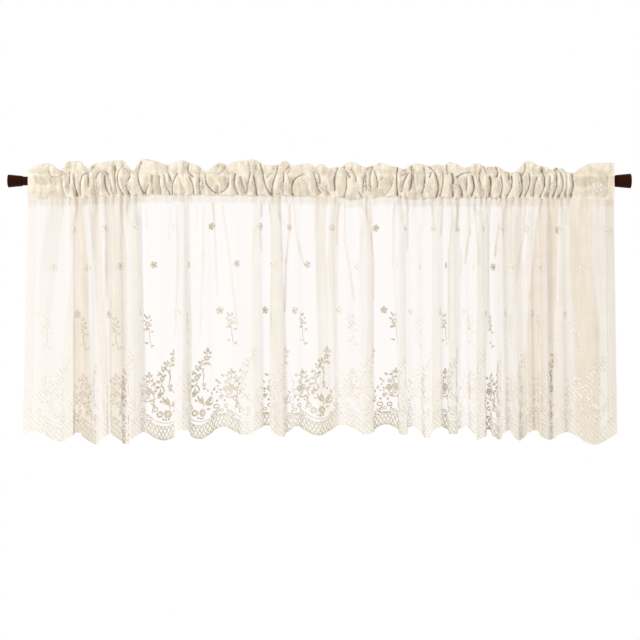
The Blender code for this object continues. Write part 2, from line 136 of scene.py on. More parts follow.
# How low each scallop hangs under the rod's axis.
SCALLOP_LOWS = (
    421, 425.5, 425, 419, 417, 410, 413, 411, 409, 410, 415, 408.5, 418, 418, 419.5, 418.5, 426,
)

# What each stretch of the hung skirt looks like from the front, left to right: its left border at
# the four levels, and the numbers of the densities that it has near the heading and near the hem
# and of the tone that its lace figures have.
LEVELS = {"hem": -402.0, "low": -241.0, "high": -136.0, "top": -39.0}
DENSITIES = (0.15, 0.22, 0.32, 0.42, 0.52, 0.62, 0.74, 0.88)
TONES = (0.1, 0.35, 0.58, 0.78, 0.98)
STRETCHES = chart(
    "hem low high top density_top density_hem tone",
    (-110, -110, -110, -110, 1, 1, 4), (48, 48, 52, 65, 3, 1, 3), (65, 65, 79, 90, 1, 1, 4),
    (84, 90, 102, 99, 4, 3, 3), (105, 105, 110, 108, 6, 6, 1), (137, 132, 129, 120, 2, 2, 4),
    (155, 144, 139, 129, 5, 4, 3), (162, 157, 153, 145, 2, 2, 4), (165, 162, 157, 156, 5, 5, 1),
    (190, 192, 191, 187, 3, 2, 3), (203, 203, 202, 205, 4, 4, 3), (223, 220, 216, 215, 0, 0, 0),
    (268, 270, 271, 271, 1, 0, 4), (281, 283, 284, 285, 3, 4, 3), (296, 296, 293, 292, 0, 0, 0),
    (338, 338, 338, 338, 0, 0, 1), (375, 375, 375, 375, 0, 1, 3), (399, 391, 392, 397, 2, 3, 3),
    (413, 412, 409, 407, 0, 0, 0), (423, 422, 425, 426, 3, 4, 3), (452, 449, 444, 441, 0, 0, 1),
    (504, 500, 497, 497, 5, 3, 0), (526, 517, 515, 512, 2, 2, 1), (528, 525, 517, 522, 4, 3, 2),
    (535, 533, 533, 534, 0, 1, 4), (565, 567, 565, 568, 2, 2, 3), (575, 580, 581, 577, 4, 4, 3),
    (591, 591, 591, 587, 0, 0, 0), (633, 627, 620, 622, 1, 3, 2), (635, 630, 631, 631, 2, 3, 3),
    (641, 643, 643, 646, 1, 1, 4), (685, 685, 685, 684, 2, 3, 3), (703, 703, 703, 703, 1, 1, 0),
    (714, 711, 712, 717, 3, 3, 2), (725, 732, 733, 729, 1, 1, 4), (757, 756, 757, 761, 3, 4, 3),
    (770, 775, 777, 778, 1, 1, 0), (790, 791, 791, 791, 3, 3, 3), (804, 799, 799, 799, 4, 4, 3),
    (814, 814, 812, 812, 4, 5, 3), (814, 814, 828, 837, 3, 4, 3), (824, 838, 848, 856, 6, 6, 2),
    (864, 864, 862, 864, 5, 5, 3), (877, 874, 873, 873, 7, 7, 0), (881, 883, 887, 889, 4, 5, 3),
    (917, 914, 908, 908, 7, 7, 3), (953, 953, 929, 925, 6, 5, 3), (956, 956, 943, 942, 4, 3, 3),
    (975, 972, 969, 967, 4, 4, 3),
)

# Thin lines where the skirt's cloth is creased: place and height of the upper end and of the lower
# end, and how strong the line is, with -1 for a lighter one.
LINE_SHARES = {-1: -0.22, 1: 0.2, 2: 0.34, 3: 0.5, 4: 0.75}
LINES = chart(
    "top top_height foot foot_height strength",
    (221, -40, 223, -73, 1), (262, -40, 260, -95, 1), (273, -39, 275, -136, 2), (275, -136, 270, -249, 2),
    (305, -40, 304, -79, 1), (316, -40, 315, -120, 2), (315, -120, 310, -249, 2), (331, -36, 333, -71, 4),
    (333, -71, 338, -184, 2), (346, -39, 352, -79, 2), (352, -79, 360, -144, 2),
    (360, -144, 370, -233, 2), (409, -36, 409, -57, 3), (407, -73, 409, -111, 2),
    (399, -79, 394, -131, 1), (422, -36, 425, -66, 3), (425, -66, 426, -111, 2),
    (426, -111, 425, -249, 2), (438, -39, 443, -128, 2), (455, -39, 455, -71, 4),
    (455, -71, 449, -131, 3), (449, -131, 447, -208, 3), (462, -40, 465, -82, 2),
    (465, -82, 476, -131, 2), (496, -40, 496, -95, 1), (535, -36, 531, -71, 4), (531, -71, 531, -103, 3),
    (544, -40, 544, -95, 2), (544, -95, 551, -136, 2), (551, -136, 559, -192, 2), (570, -36, 578, -53, 2),
    (578, -40, 583, -71, 2), (586, -39, 586, -71, 2), (585, -76, 591, -131, 2), (572, -76, 567, -152, 1),
    (591, -131, 591, -192, 2), (625, -36, 622, -66, 2), (622, -66, 622, -136, 1), (636, -40, 636, -66, 2),
    (646, -39, 645, -111, 2), (685, -40, 688, -76, 2), (703, -40, 699, -87, 2), (717, -36, 717, -66, 2),
    (717, -66, 712, -111, 2), (712, -111, 711, -257, 3), (727, -39, 725, -76, 3),
    (732, -111, 732, -152, 2), (745, -39, 746, -82, 3), (746, -82, 738, -131, 3), (753, -42, 757, -87, 2),
    (757, -87, 760, -131, 2), (751, -36, 761, -55, 2), (777, -39, 777, -241, 2), (793, -71, 787, -120, 3),
    (801, -39, 799, -87, 2), (812, -55, 812, -131, 1), (835, -39, 835, -76, 1), (835, -76, 820, -160, 1),
    (856, -55, 849, -131, 1), (849, -131, 841, -192, 1), (887, -39, 885, -131, 2),
    (895, -39, 903, -66, 1), (157, -111, 157, -192, 1), (181, -36, 186, -79, 2), (192, -36, 194, -71, 2),
    (186, -71, 191, -131, 1), (165, -192, 165, -386, 1), (154, -95, 154, -192, -1),
    (160, -192, 161, -249, -1), (187, -66, 193, -111, -1), (178, -36, 178, -71, -1),
    (890, -39, 888, -192, -1), (219, -40, 220, -241, -1), (517, -40, 514, -131, -1),
    (839, -39, 833, -131, -1),
)

# The heading's lower edge, where it is stitched: place along the rod, and height over its axis.
SEAM = chart(
    "place height",
    (31, -29), (92, -29), (149, -26), (213, -23.5), (310, -23.5), (407, -25), (504, -26), (538, -27.5),
    (546, -31), (568, -31), (578, -27), (633, -26.5), (645, -30), (672, -31), (682, -29), (916, -29),
    (979, -30),
)

# The ruffle's upper edge: place along the rod, and height over its axis.
RUFFLE = chart(
    "place height",
    (32, 17.8), (40, 25), (52, 29.1), (66, 29.1), (79, 19.4), (84, 16.1), (90, 27.5), (97, 33.1),
    (107, 32.3), (116, 34.7), (124, 29.1), (129, 19.4), (137, 27.5), (149, 30.7), (165, 33.1),
    (184, 33.9), (194, 22.6), (203, 14.5), (210, 25.8), (216, 34.7), (224, 37.1), (241, 33.1),
    (258, 26.6), (270, 31.5), (278, 35.5), (292, 29.1), (305, 25.8), (315, 15.3), (328, 21.8),
    (339, 29.9), (349, 29.1), (355, 25), (365, 31.5), (383, 33.1), (399, 36.3), (407, 30.7), (413, 25.8),
    (433, 25.8), (439, 32.3), (447, 33.9), (455, 25), (472, 27.5), (483, 29.9), (493, 27.5), (499, 21.8),
    (505, 28.3), (512, 29.1), (520, 20.2), (533, 24.2), (541, 22.6), (547, 30.7), (557, 31.5),
    (575, 21.8), (588, 25.8), (598, 30.7), (614, 25), (628, 23.4), (644, 18.6), (649, 25.8), (665, 29.9),
    (677, 24.2), (693, 28.3), (701, 25), (712, 31.5), (725, 29.1), (741, 20.2), (753, 27.5), (761, 29.9),
    (766, 23.4), (793, 24.2), (804, 17), (819, 12.9), (825, 17.8), (835, 32.3), (843, 33.1), (854, 25),
    (869, 22.6), (875, 16.1), (882, 22.6), (898, 20.2), (904, 10.5), (916, 12.1), (930, 23.4),
    (943, 28.7), (977, 31),
)

# The heading's sharp creases: place and height of the lower end and of the upper end, sideways bow
# of the line between them, and how deep it is pressed.
PINCHES = chart(
    "foot foot_height head head_height bow strength",
    (92, -29, 87, 11, 0, 0.6), (66, 16, 89, 10, 8, 0.8), (99, -10, 100, 15, 2, 0.8),
    (86, 15, 99, 5, -2, 0.6), (111, -24, 108, 11, 0, 0.9), (118, -24, 123, 10, -2, 0.9),
    (123, 8, 139, 24, 2, 0.8), (131, -10, 131, 13, 0, 0.8), (144, 5, 165, 6, -10, 0.7),
    (147, -26, 145, -8, 0, 0.5), (165, -24, 158, 8, -3, 1), (168, -15, 162, 11, 2, 0.7),
    (176, -24, 173, 23, 0, 0.9), (187, -24, 181, 18, -5, 0.9), (181, 16, 187, 26, 0, 0.6),
    (197, -24, 199, 6, -5, 1), (199, 6, 189, 19, 2, 0.8), (220, -21, 210, 15, -2, 1),
    (210, 15, 215, 31, 0, 0.7), (220, -21, 228, -8, 0, 0.8), (234, -23, 234, 8, 0, 0.6),
    (247, -23, 245, 8, 0, 0.6), (263, -23, 254, 8, -2, 1), (268, -5, 258, 23, -2, 0.7),
    (266, -23, 275, 11, -3, 0.9), (289, -21, 278, 5, -2, 0.4), (299, -23, 294, 5, 3, 1),
    (300, 6, 292, 29, -5, 1), (310, -24, 310, 24, 0, 0.8), (318, -26, 315, 5, 0, 0.5),
    (336, -19, 320, 10, -6, 1), (344, -18, 357, 3, 5, 1), (339, -23, 339, -8, 0, 0.6),
    (342, 10, 350, 24, 2, 0.7), (339, 15, 341, 29, 0, 0.5), (371, -21, 368, 11, -3, 1),
    (384, -21, 376, 5, 0, 0.7), (386, -18, 392, 13, 0, 1), (392, 13, 389, 29, 0, 0.6),
    (402, -24, 397, 8, 0, 1), (397, 8, 401, 26, 0, 0.5), (426, -24, 412, 11, -3, 1),
    (412, 11, 407, 29, 0, 1), (420, 5, 428, 11, -2, 0.8), (426, -24, 434, 11, -2, 1),
    (434, 11, 436, 26, 0, 0.9), (444, -26, 446, 15, 0, 0.9), (446, 15, 455, 24, 0, 0.8),
    (433, -26, 444, -26, -6, 0.6), (452, 11, 457, 21, 0, 0.6), (460, -23, 480, 10, -10, 1),
    (488, -24, 483, -11, 0, 0.4), (505, -19, 494, 15, -2, 1), (504, -5, 497, 15, 3, 0.8),
    (520, -23, 514, -15, 0, 0.7), (528, -15, 533, 21, -3, 1), (541, -29, 546, 8, 3, 1),
    (546, 8, 543, 23, 0, 0.7), (552, 5, 546, 16, 0, 1), (562, -2, 554, 19, 2, 0.8),
    (551, -31, 562, -26, 5, 0.7), (572, -27, 567, -18, 0, 0.9), (573, -18, 580, 18, -2, 0.7),
    (578, -11, 578, 8, 0, 0.5), (586, -16, 589, 23, -3, 0.8), (596, -11, 589, 21, 2, 0.8),
    (596, -11, 607, 5, -3, 0.5), (609, -23, 622, 5, 3, 0.6), (630, -24, 630, 24, -3, 1),
    (636, -16, 648, 13, -3, 1), (636, 8, 648, 13, 0, 0.9), (648, -15, 652, 24, 2, 1),
    (657, -15, 656, 18, -2, 0.7), (669, -19, 672, 21, 2, 0.9), (691, 6, 677, 26, 2, 1),
    (680, 5, 683, 13, 0, 0.8), (691, -29, 691, 5, 3, 1), (698, -24, 701, 15, 2, 0.9),
    (709, 10, 709, 27, 0, 0.7), (719, -27, 717, 11, 0, 1), (724, 5, 746, 13, -2, 1),
    (733, -27, 728, -8, 2, 1), (740, -15, 740, 5, 0, 0.7), (749, -24, 748, 8, 3, 1),
    (762, -8, 764, 18, -3, 0.7), (770, -27, 767, -15, 0, 0.5), (777, -27, 777, 5, 2, 1),
    (772, 11, 769, 23, 0, 0.6), (788, 6, 787, 26, 2, 1), (793, -31, 795, 5, 3, 0.9),
    (806, -24, 812, 6, 3, 1), (808, 2, 806, 15, 0, 0.8), (827, -26, 825, 11, 3, 1),
    (828, 8, 835, 29, 3, 0.9), (835, -24, 840, 11, 3, 1), (849, -24, 853, 5, -2, 0.8),
    (859, -26, 861, 18, 5, 1), (872, -26, 874, 8, 0, 0.8), (880, -27, 883, 18, 3, 1),
    (888, -29, 885, 21, 8, 1), (901, -27, 900, 8, 0, 0.8), (909, -27, 909, 11, 2, 1),
    (966, -29, 966, 8, 0, 0.3),
)

# Hollows between the heading's puffs: left and right end, foot and head, and how deep each is.
HOLLOWS = chart(
    "left right foot head depth",
    (47, 69, -7, 6, 0.8), (71, 86, -8, 5, 0.6), (37, 68, -27, -19, 0.4), (68, 90, -29, -18, 0.6),
    (87, 97, -2, 16, 0.6), (92, 103, 18, 34, 0.5), (107, 118, -11, 8, 0.5), (107, 118, -26, -12, 0.9),
    (132, 145, -26, 6, 0.6), (134, 144, -24, -5, 0.8), (134, 142, 16, 26, 0.4), (155, 165, -15, 13, 0.7),
    (166, 174, 15, 32, 0.5), (170, 176, -26, -15, 0.8), (186, 195, -24, 16, 0.6),
    (218, 226, -23, -8, 0.8), (221, 231, -13, 6, 0.4), (233, 247, -22, 8, 0.8), (237, 245, 15, 32, 0.3),
    (260, 265, -15, 8, 0.6), (281, 292, 13, 29, 0.3), (308, 313, -24, 5, 0.6), (320, 333, -10, 6, 0.6),
    (336, 342, -23, -11, 0.8), (344, 357, -10, 6, 0.8), (341, 349, 19, 29, 0.4), (363, 368, -15, 10, 0.8),
    (373, 386, -23, 5, 0.7), (394, 407, 16, 31, 0.3), (399, 404, -23, 10, 0.8), (420, 428, -24, -3, 0.6),
    (443, 451, 18, 32, 0.4), (455, 465, -24, 5, 0.7), (465, 488, -11, 3, 0.5), (465, 489, -26, -15, 0.4),
    (497, 504, -24, 5, 0.8), (507, 514, 6, 24, 0.6), (518, 525, 6, 19, 0.5), (509, 520, -24, -15, 0.7),
    (526, 531, -15, 15, 0.8), (544, 557, -31, -21, 0.6), (564, 570, 15, 27, 0.3),
    (573, 580, -10, 10, 0.8), (580, 589, 8, 24, 0.6), (586, 607, -25, -12, 0.7), (601, 619, -10, 5, 0.7),
    (628, 631, -24, -2, 0.7), (636, 646, 10, 18, 0.6), (648, 656, -15, 10, 0.8), (657, 672, -11, 15, 0.7),
    (649, 672, -29, -16, 0.7), (683, 699, 15, 27, 0.4), (691, 698, -27, 5, 0.6), (715, 720, -26, 11, 0.8),
    (722, 740, -13, 6, 0.6), (728, 736, -27, -11, 0.8), (724, 730, 13, 24, 0.3), (748, 753, -26, 10, 0.8),
    (759, 772, -29, -11, 0.4), (759, 764, -24, 15, 0.6), (774, 780, -27, 6, 0.9), (772, 783, 10, 23, 0.5),
    (788, 796, -31, -24, 0.7), (806, 812, -11, 8, 0.8), (825, 830, -24, 13, 0.8), (830, 838, -18, 8, 0.6),
    (840, 856, -23, 6, 0.6), (861, 867, -11, 23, 0.7), (867, 874, -27, -16, 0.9), (879, 883, -24, 8, 0.6),
    (885, 890, -29, -8, 0.9), (891, 901, 18, 23, 0.4), (896, 903, -26, -13, 0.7), (906, 912, -27, 8, 0.8),
    (914, 943, -11, 5, 0.9), (943, 964, -11, 5, 0.6), (914, 963, -29, -18, 0.4), (966, 980, -29, 8, 0.3),
)

# Soft waves of the cloth: spacing along it, height, turn for each millimetre up it, and phase.
HEADING_WAVES = chart("spacing height slant phase", (23.9, 0.7, -0.036, 1.9), (8.9, 0.3, 0.08, 4.0))
SKIRT_WAVES = chart("spacing height slant phase", (31.0, 0.5, 0.0072, 0.0), (53.0, 0.8, -0.0054, 2.2))

# The lace border's charts for one scallop. u is the distance right of the scallop's low point and
# v the height over it. Lengths, widths and radii in millimetres, angles in degrees from level.
LEAVES = chart(
    "u v length width angle bend",
    (9.5, 55.5, 15, 7.5, 108, 1.5), (11.5, 55.5, 19, 6, 50, -1.5), (12, 55, 15, 4.4, 10, -1),
    (5, 57, 15, 5.2, 120, 1), (-3, 61, 6, 3.8, 150, 0), (14, 47, 7, 3.6, 12, 0), (0, 77, 8, 3.4, 92, 0),
    (-9, 67, 13, 3.6, 42, 2.5), (-13, 73, 14, 3.2, 62, -2.5), (7, 79, 9, 3.6, 8, 1.5),
    (0, 83, 8, 3, 130, 0), (-5, 95, 9, 5, 168, 1), (-13, 94, 9, 4.4, 196, 1), (-10, 88, 8, 3.6, 210, 0),
    (1, 110, 10, 3.8, 128, 0.5), (-3, 105, 10, 3.6, 138, 0.5), (2.5, 112, 7, 3.4, 104, 0),
    (-3, 102, 8, 3.4, 14, 1.6), (8.5, 110, 6, 3.4, 62, 0), (5, 122, 8, 4.2, 138, 0.5),
    (7, 123, 7, 4, 100, 0), (6, 119, 8, 3.6, 190, 0.5), (8, 119, 9, 3.4, 12, 1),
    (12.5, 123.5, 12, 4, -24, 1), (18, 140, 9, 5.4, 90, 0), (16.5, 139, 7, 4, 165, 0),
    (19.5, 139, 7, 4, 15, 0), (42, 88, 8, 3.8, 150, 0.5), (37, 91, 7, 3.8, 140, 0),
    (48, 100, 8, 4.4, 160, 0), (50, 100, 7, 4.2, 20, 0), (62.5, 103, 10, 5, 92, 0),
    (61.5, 103, 8, 4, 150, 0), (63.5, 103, 8, 4, 32, 0), (62, 98, 8, 3.8, 200, 0.5),
    (64, 97, 8, 3.8, -14, 0.5), (44, 78, 8, 4, 170, 1), (67, 76, 7, 3.8, 20, 1), (67, 87, 8, 3.8, 50, 1),
    (46, 70, 8, 3.6, 200, 1), (66, 66, 9, 4.4, -35, 1), (69, 60, 9, 4.6, -70, 1),
    (58, 68, 8, 3.4, 190, 1), (69, 96, 6, 3.2, 80, 0), (26, 70, 7, 3.6, 120, 0), (28, 76, 8, 3.6, 60, 0),
    (62, 158, 8, 3.4, 165, 0), (66, 152, 8, 3.4, 20, 0), (64, 181, 9, 4.6, 172, 0),
    (60, 181, 8, 4.2, 184, 0), (61, 197, 9, 3.8, 128, 0), (58, 193, 8, 3.6, 158, 0),
    (63, 198, 7, 3.6, 74, 0), (66, 176, 7, 3.4, 8, 0),
)
FLOWERS = chart(
    "u v radius petals turn",
    (-8, 42, 6, 5, 20), (6, 42, 7.4, 6, 0), (-3, 100, 4.6, 5, 10), (10, 87, 4.6, 5, 30),
    (16, 131, 4.4, 6, 0), (50, 79, 6.2, 6, 10), (61.5, 81, 6.4, 6, 40), (56.5, 90, 4.4, 5, 0),
    (50, 90, 4, 5, 30), (60, 72, 4.2, 5, 20), (40.5, 66, 3.4, 4, 0), (61, 189, 5.4, 6, 15),
    (-19, 78, 4, 5, 0),
)
SPRIGS = chart(
    "u v radius petals turn",
    (41.5, 208, 6.4, 5, 18), (73, 284, 6.2, 5, 40), (29, 346, 6.2, 5, 0), (10.6, 415, 9.2, 6, 25),
)
STEMS = chart(
    "u v end_u end_v bend width",
    (8, 92, 3, 116, -5, 2.2), (3, 116, 9, 124, 1, 1.4), (9, 124, 16, 128, 1, 1.2),
    (16, 134, 18, 141, 0, 1.1), (-16, 66, -10, 85, 4, 1.8), (-10, 85, -3, 96, -2, 1.6),
    (-11, 68, -1, 77, 3, 2.2), (10, 50, 10.5, 56, 1, 1.6), (64, 181, 68, 150, -2, 1),
    (62.5, 92, 62.5, 104, 0, 1.2), (47, 68, 68, 68, -4, 1.6), (48, 74, 58, 70, -2, 1.4),
    (27, 42, 38, 52, -3, 1.5), (62, 42, 51, 52, 3, 1.5), (-22, 44, -14, 52, 2, 1.5),
    (28, 66, 26, 56, -2, 1.4),
)
RINGS = chart(
    "u v width height line",
    (33, 51, 9.5, 6, 1.8), (50.5, 51, 9.5, 6, 1.8), (40.5, 66, 5.4, 6, 1.4), (16, 131, 7.4, 6.6, 1.5),
    (-3, 100, 6.4, 7.4, 1.5), (-8, 42, 9.5, 8, 1.2), (6, 42, 11.5, 9, 1.2), (6, 42, 5, 4.4, 1.1),
    (50, 79, 9.6, 9, 1.1), (61.5, 81, 10, 9.4, 1.1), (-16, 51, 8.5, 8, 1.5), (-21, 63, 6.5, 8, 1.4),
    (41.8, 44.5, 6, 4, 1.3), (24, 36, 5, 5, 1.2), (30, 40.5, 4.6, 4.6, 1.2), (36, 43, 4.2, 4.2, 1.1),
    (65, 36, 5, 5, 1.2), (59, 40.5, 4.6, 4.6, 1.2), (53, 43, 4.2, 4.2, 1.1),
)
DOTS = chart(
    "u v radius",
    (-2, 33.8, 1.8), (2.5, 32.6, 1.9), (7.5, 33.6, 1.8), (34, 60, 2), (47, 60, 2), (40.5, 73, 1.4),
    (39, 37, 1.7), (42.5, 36, 1.7), (46, 37, 1.7), (33, 38, 1.5), (51, 38, 1.5), (-10, 86, 1.9),
    (-10, 106, 1.8), (2, 104.5, 2.2), (-2, 69, 1.6), (17, 78, 1.6), (20, 66, 1.6), (-17, 90, 1.6),
    (10, 87, 1.2), (50, 79, 1.6), (61.5, 81, 1.6), (56, 100, 1.5), (36, 84, 1.6), (34, 74, 1.6),
    (73, 68, 1.5), (75, 80, 1.4), (-4, 119, 1.5), (22, 133, 1.4), (67, 195, 1.6), (68, 187, 1.6),
    (56, 204, 1.4), (41.5, 208, 1.8),
)


@dataclass
class Drape:
    """How the flat cloth hangs: folds in the skirt, gathers, rod pocket and ruffle above.

    Sizes are in millimetres and heights are over the rod's axis, unless a method says otherwise.
    """

    skirt_drop: float = 396.0
    left_at_top: float = 32.3
    left_at_hem: float = 22.6
    scallop_pitch: float = 88.9
    first_scallop: float = 63.0
    scallop_depth: float = 17.0

    # The folds' plan sections and how they are worked out
    angle_ease: float = 0.84
    depth_share: float = 0.4
    gather_angle: float = math.radians(80.0)
    gather_crown: float = 0.5
    gather_press: float = 0.6
    gather_depth: float = 11.0
    nested_centre: float = 6.0
    valley_sway: float = 2.5
    valley_sway_turn: float = 2.4
    end_bow: float = 4.0
    ramp_share: float = 0.95
    side_limits: tuple[float, float] = (0.08, 0.86)
    straightest: float = 0.997
    widest_scale: float = 4.0
    samples: int = 96
    levels: int = 41
    solve_steps: int = 40
    plan_reach: float = 0.25
    face_reach: float = 0.5

    # Rod pocket and ruffle
    stitch_level: float = -30.0
    top_level: float = 34.0
    ruffle_start: float = 12.0
    layer_offset: float = 1.2
    layer_offset_drop: float = 20.0
    turn_depth: float = 2.0
    pocket_reach: float = 9.5
    pocket_flat: float = 7.0
    pocket_foot: float = -28.0
    pocket_head: float = 25.0
    close_sway: float = 4.5
    close_length: float = 11.0
    close_turn: float = 1.7
    close_turn_length: float = 29.0
    draw_in: float = 0.006
    flatten: float = 0.92
    flatten_run: float = 9.0
    seam_wave: float = 0.5
    seam_lengths: tuple[float, float] = (5.3, 3.1)
    seam_phase: float = 2.0
    ruffle_round: tuple[float, ...] = (-3.0, -1.0, 1.0, 3.0)
    ruffle_bulge: float = 0.8
    bulge_power: float = 0.8
    ruffle_sway: float = 3.0
    ruffle_sway_length: float = 31.0
    ruffle_sway_phase: float = 1.0
    ruffle_lean: float = 4.0
    ruffle_lean_length: float = 47.0

    # Soft waves, and where those of the skirt take over from the heading's
    wander: float = 3.2
    wander_length: float = 83.0
    wave_fade: float = 60.0
    wave_margin: float = 4.0
    wave_side: float = 30.0

    # Puffs, creases, hollows and wrinkles of the heading
    puff_out: float = 6.0
    puff_reach: float = 5.0
    puff_start: float = 5.0
    no_crease: float = 60.0
    groove: float = 3.8
    groove_width: float = 1.1
    flare: float = 0.9
    flare_run: float = 6.0
    # Painted highlight lines beside the creases: how far out and how wide.
    highlight_away: float = 2.6
    highlight_width: float = 1.0
    hollow_depth: float = 3.0
    hollow_side: float = 4.0
    hollow_end: float = 6.0
    hollow_warp: float = 1.6
    warp_lengths: tuple[float, float, float] = (3.7, 9.0, 4.3)
    wrinkle: float = 0.7
    wrinkle_lengths: tuple[float, ...] = (1.9, 7.0, 8.0, 13.0)
    fine_wrinkle: float = 0.35
    fine_lengths: tuple[float, ...] = (1.3, 2.9, 2.1, 5.7)
    wrinkle_turn: float = 2.0
    ripple: float = 0.3
    ripple_lengths: tuple[float, float] = (0.7, 9.0)

    # How dense the net looks, as shares of thread
    border_soft: float = 2.6
    line_width: float = 1.7
    under_share: float = 0.28
    under_reach: float = 11.0
    under_soft: float = 7.0
    least_facing: float = 0.12
    # Net thinner in the folds' valleys and closer on their crests: painted light and shade.
    relief: float = 0.12
    crest_valley_middle: float = 1.5
    crest_valley_reach: float = 5.0
    share_limits: tuple[float, float] = (0.03, 0.97)
    bin_width: float = 0.5

    # Painted shade and painted light on the heading, and how light its lace figures look, as shares.
    # The hollows' darkness is painted shade and partly the dark rod seen through the cloth.
    shade_from: float = 0.3
    hollow_shade: float = 0.38
    pleat_shade: float = 0.2
    pleat_bend: float = 1.6
    pleat_lengths: tuple[float, float] = (5.0, 19.0)
    pleat_power: int = 3
    fine_pleats: float = 2.3
    fine_pleat_share: float = 0.6
    fine_pleat_power: int = 4
    pleat_soft: float = 6.0
    foot_painted_light: float = 0.8
    foot_reach: float = 6.0
    ruffle_painted_light: float = 0.42
    ruffle_soft: float = 10.0
    flat_from: float = 914.0
    flat_tone: float = 1.0
    gathered_tone: float = 0.7

    def __post_init__(self) -> None:
        """Works out the plan section of the cloth at every level."""
        self.count = len(FOLDS["hem"])
        self.lengths = FOLDS["hem"] + FOLDS["spare"]
        self.starts = np.concatenate(([0.0], np.cumsum(self.lengths)))
        self.width = float(self.starts[-1])
        sections = [self.section(height) for height in np.linspace(0.0, 1.0, self.levels)]
        self.plans = np.stack(sections, axis=1)

    def wave(self, share: Array, sides: Array, crown: Array | float) -> Array:
        """Turning along one fold: up by a soft step, back over the crown, down and back.

        Args:
            share: place along the fold's cloth, 0 to 1.
            sides: share of the cloth in the two sides.
            crown: the front's share of what the sides leave.

        Returns:
            Share of the full turning angle, from -1 to 1.
        """
        rest = 1.0 - sides
        base = rest * (1.0 - crown)
        ramp = np.minimum(rest * crown, base) * self.ramp_share
        marks = (base / 2, base / 2 + sides / 2, 1 - base / 2 - sides / 2, 1 - base / 2)
        out, over, under, back = (step_at(share, mark, ramp) for mark in marks)
        return out - over - under + back

    def side_share(self, ratio: Array, angle: Array | float) -> Array:
        """Share of a fold's cloth in its sides: (1 - ratio) / (1 - cos angle), within limits."""
        return np.clip((1.0 - ratio) / (1.0 - np.cos(angle)), *self.side_limits)

    def section(self, height: float) -> Array:
        """Plan of the cloth at a share of the skirt's height.

        The turning is the folds' wave blended into the gathers' wave. Halving finds the scale at
        which the mean of its cosine gives each fold its hung width.

        Args:
            height: 0 at the hem, 1 at the heading.

        Returns:
            Hung place across and depth, each with one row per fold.
        """
        share = ((np.arange(self.samples) + 0.5) / self.samples)[None, :]
        widths = FOLDS["hem"] + (FOLDS["heading"] - FOLDS["hem"]) * height
        ratio = np.minimum(widths / self.lengths, self.straightest)[:, None]
        angle = np.radians(FOLDS["angle"])[:, None] * self.angle_ease
        folded = angle * self.wave(share, self.side_share(ratio, angle), FOLDS["crown"][:, None])
        part = (share * FOLDS["gathers"][:, None]) % 1.0
        sides = self.side_share(ratio, self.gather_angle)
        pleated = self.gather_angle * self.wave(part, sides, self.gather_crown)
        gathered = smooth(1.0 - (1.0 - height) * self.skirt_drop / FOLDS["fade"])[:, None]
        wave = (1.0 - gathered) * folded + gathered * pleated
        low = np.zeros((self.count, 1))
        high = np.full((self.count, 1), self.widest_scale)
        for _ in range(self.solve_steps):
            scale = (low + high) / 2
            too_wide = np.cos(scale * wave).mean(axis=1, keepdims=True) > ratio
            low = np.where(too_wide, scale, low)
            high = np.where(too_wide, high, scale)
        steps = np.stack((np.cos(scale * wave), np.sin(scale * wave)))
        steps *= self.lengths[:, None] / self.samples
        start = np.zeros((2, self.count, 1))
        along, front = np.concatenate((start, np.cumsum(steps, axis=2)), axis=2)
        line = np.linspace(0.0, 1.0, self.samples + 1)[None, :]
        press = self.depth_share + (self.gather_press - self.depth_share) * gathered
        front = (front - front[:, -1:] * line) * press
        left = self.left_at_hem + (self.left_at_top - self.left_at_hem) * height
        starts = left + np.concatenate(([0.0], np.cumsum(along[:, -1])[:-1]))
        joints = self.valley_sway * np.sin(self.valley_sway_turn * np.arange(self.count + 1))
        depth = self.nested_centre + joints[:-1, None] * (1 - line) + joints[1:, None] * line - front
        depth[[0, -1]] -= self.end_bow * np.sin(math.pi * line)
        return np.stack((starts[:, None] + along, depth))

    def in_fold(self, flat: Array) -> tuple[Array, Array]:
        """Number of the fold that each flat place is in, and its share of that fold's cloth."""
        fold = np.clip(np.searchsorted(self.starts, flat, side="right") - 1, 0, self.count - 1)
        return fold, (flat - self.starts[fold]) / self.lengths[fold]

    def plan(self, flat: Array, height: Array) -> Array:
        """Hung place across and depth of flat places, between the worked-out sections.

        Args:
            flat: distance across the flat cloth.
            height: share of the skirt's height.

        Returns:
            Places across, and depths.
        """
        fold, share = self.in_fold(flat)
        spot = share * self.samples
        sample = np.clip(spot.astype(int), 0, self.samples - 1)
        level = np.clip(height, 0.0, 1.0) * (self.levels - 1)
        row = np.clip(level.astype(int), 0, self.levels - 2)
        across, up = spot - sample, level - row
        lower, upper = (
            self.plans[:, at, fold, sample] * (1 - across) + self.plans[:, at, fold, sample + 1] * across
            for at in (row, row + 1)
        )
        return lower * (1 - up) + upper * up

    def edge(self, flat: Array) -> Array:
        """Height of the scalloped edge over its low points: a raised cosine."""
        turn = 2 * math.pi * (flat - self.first_scallop) / self.scallop_pitch
        return self.scallop_depth * (0.5 - 0.5 * np.cos(turn))

    def ruffle(self, across: Array) -> Array:
        """Height of the ruffle's fold at hung places across: its chart with rounded corners."""
        rounded = [np.interp(across + shift, *RUFFLE.values()) for shift in self.ruffle_round]
        return np.mean(rounded, axis=0)

    def seam(self, across: Array) -> Array:
        """Height of the stitch line at hung places across: its chart and two small sines."""
        coarse, fine = (across / length for length in self.seam_lengths)
        return np.interp(across, *SEAM.values()) + self.seam_wave * (
            np.sin(coarse) + np.sin(fine + self.seam_phase)
        )

    def gather_wave(self, flat: Array) -> Array:
        """0 in the notch between two gathers and 1 at the middle of one: a rectified sine."""
        fold, share = self.in_fold(flat)
        return np.abs(np.sin(math.pi * share * FOLDS["gathers"][fold]))

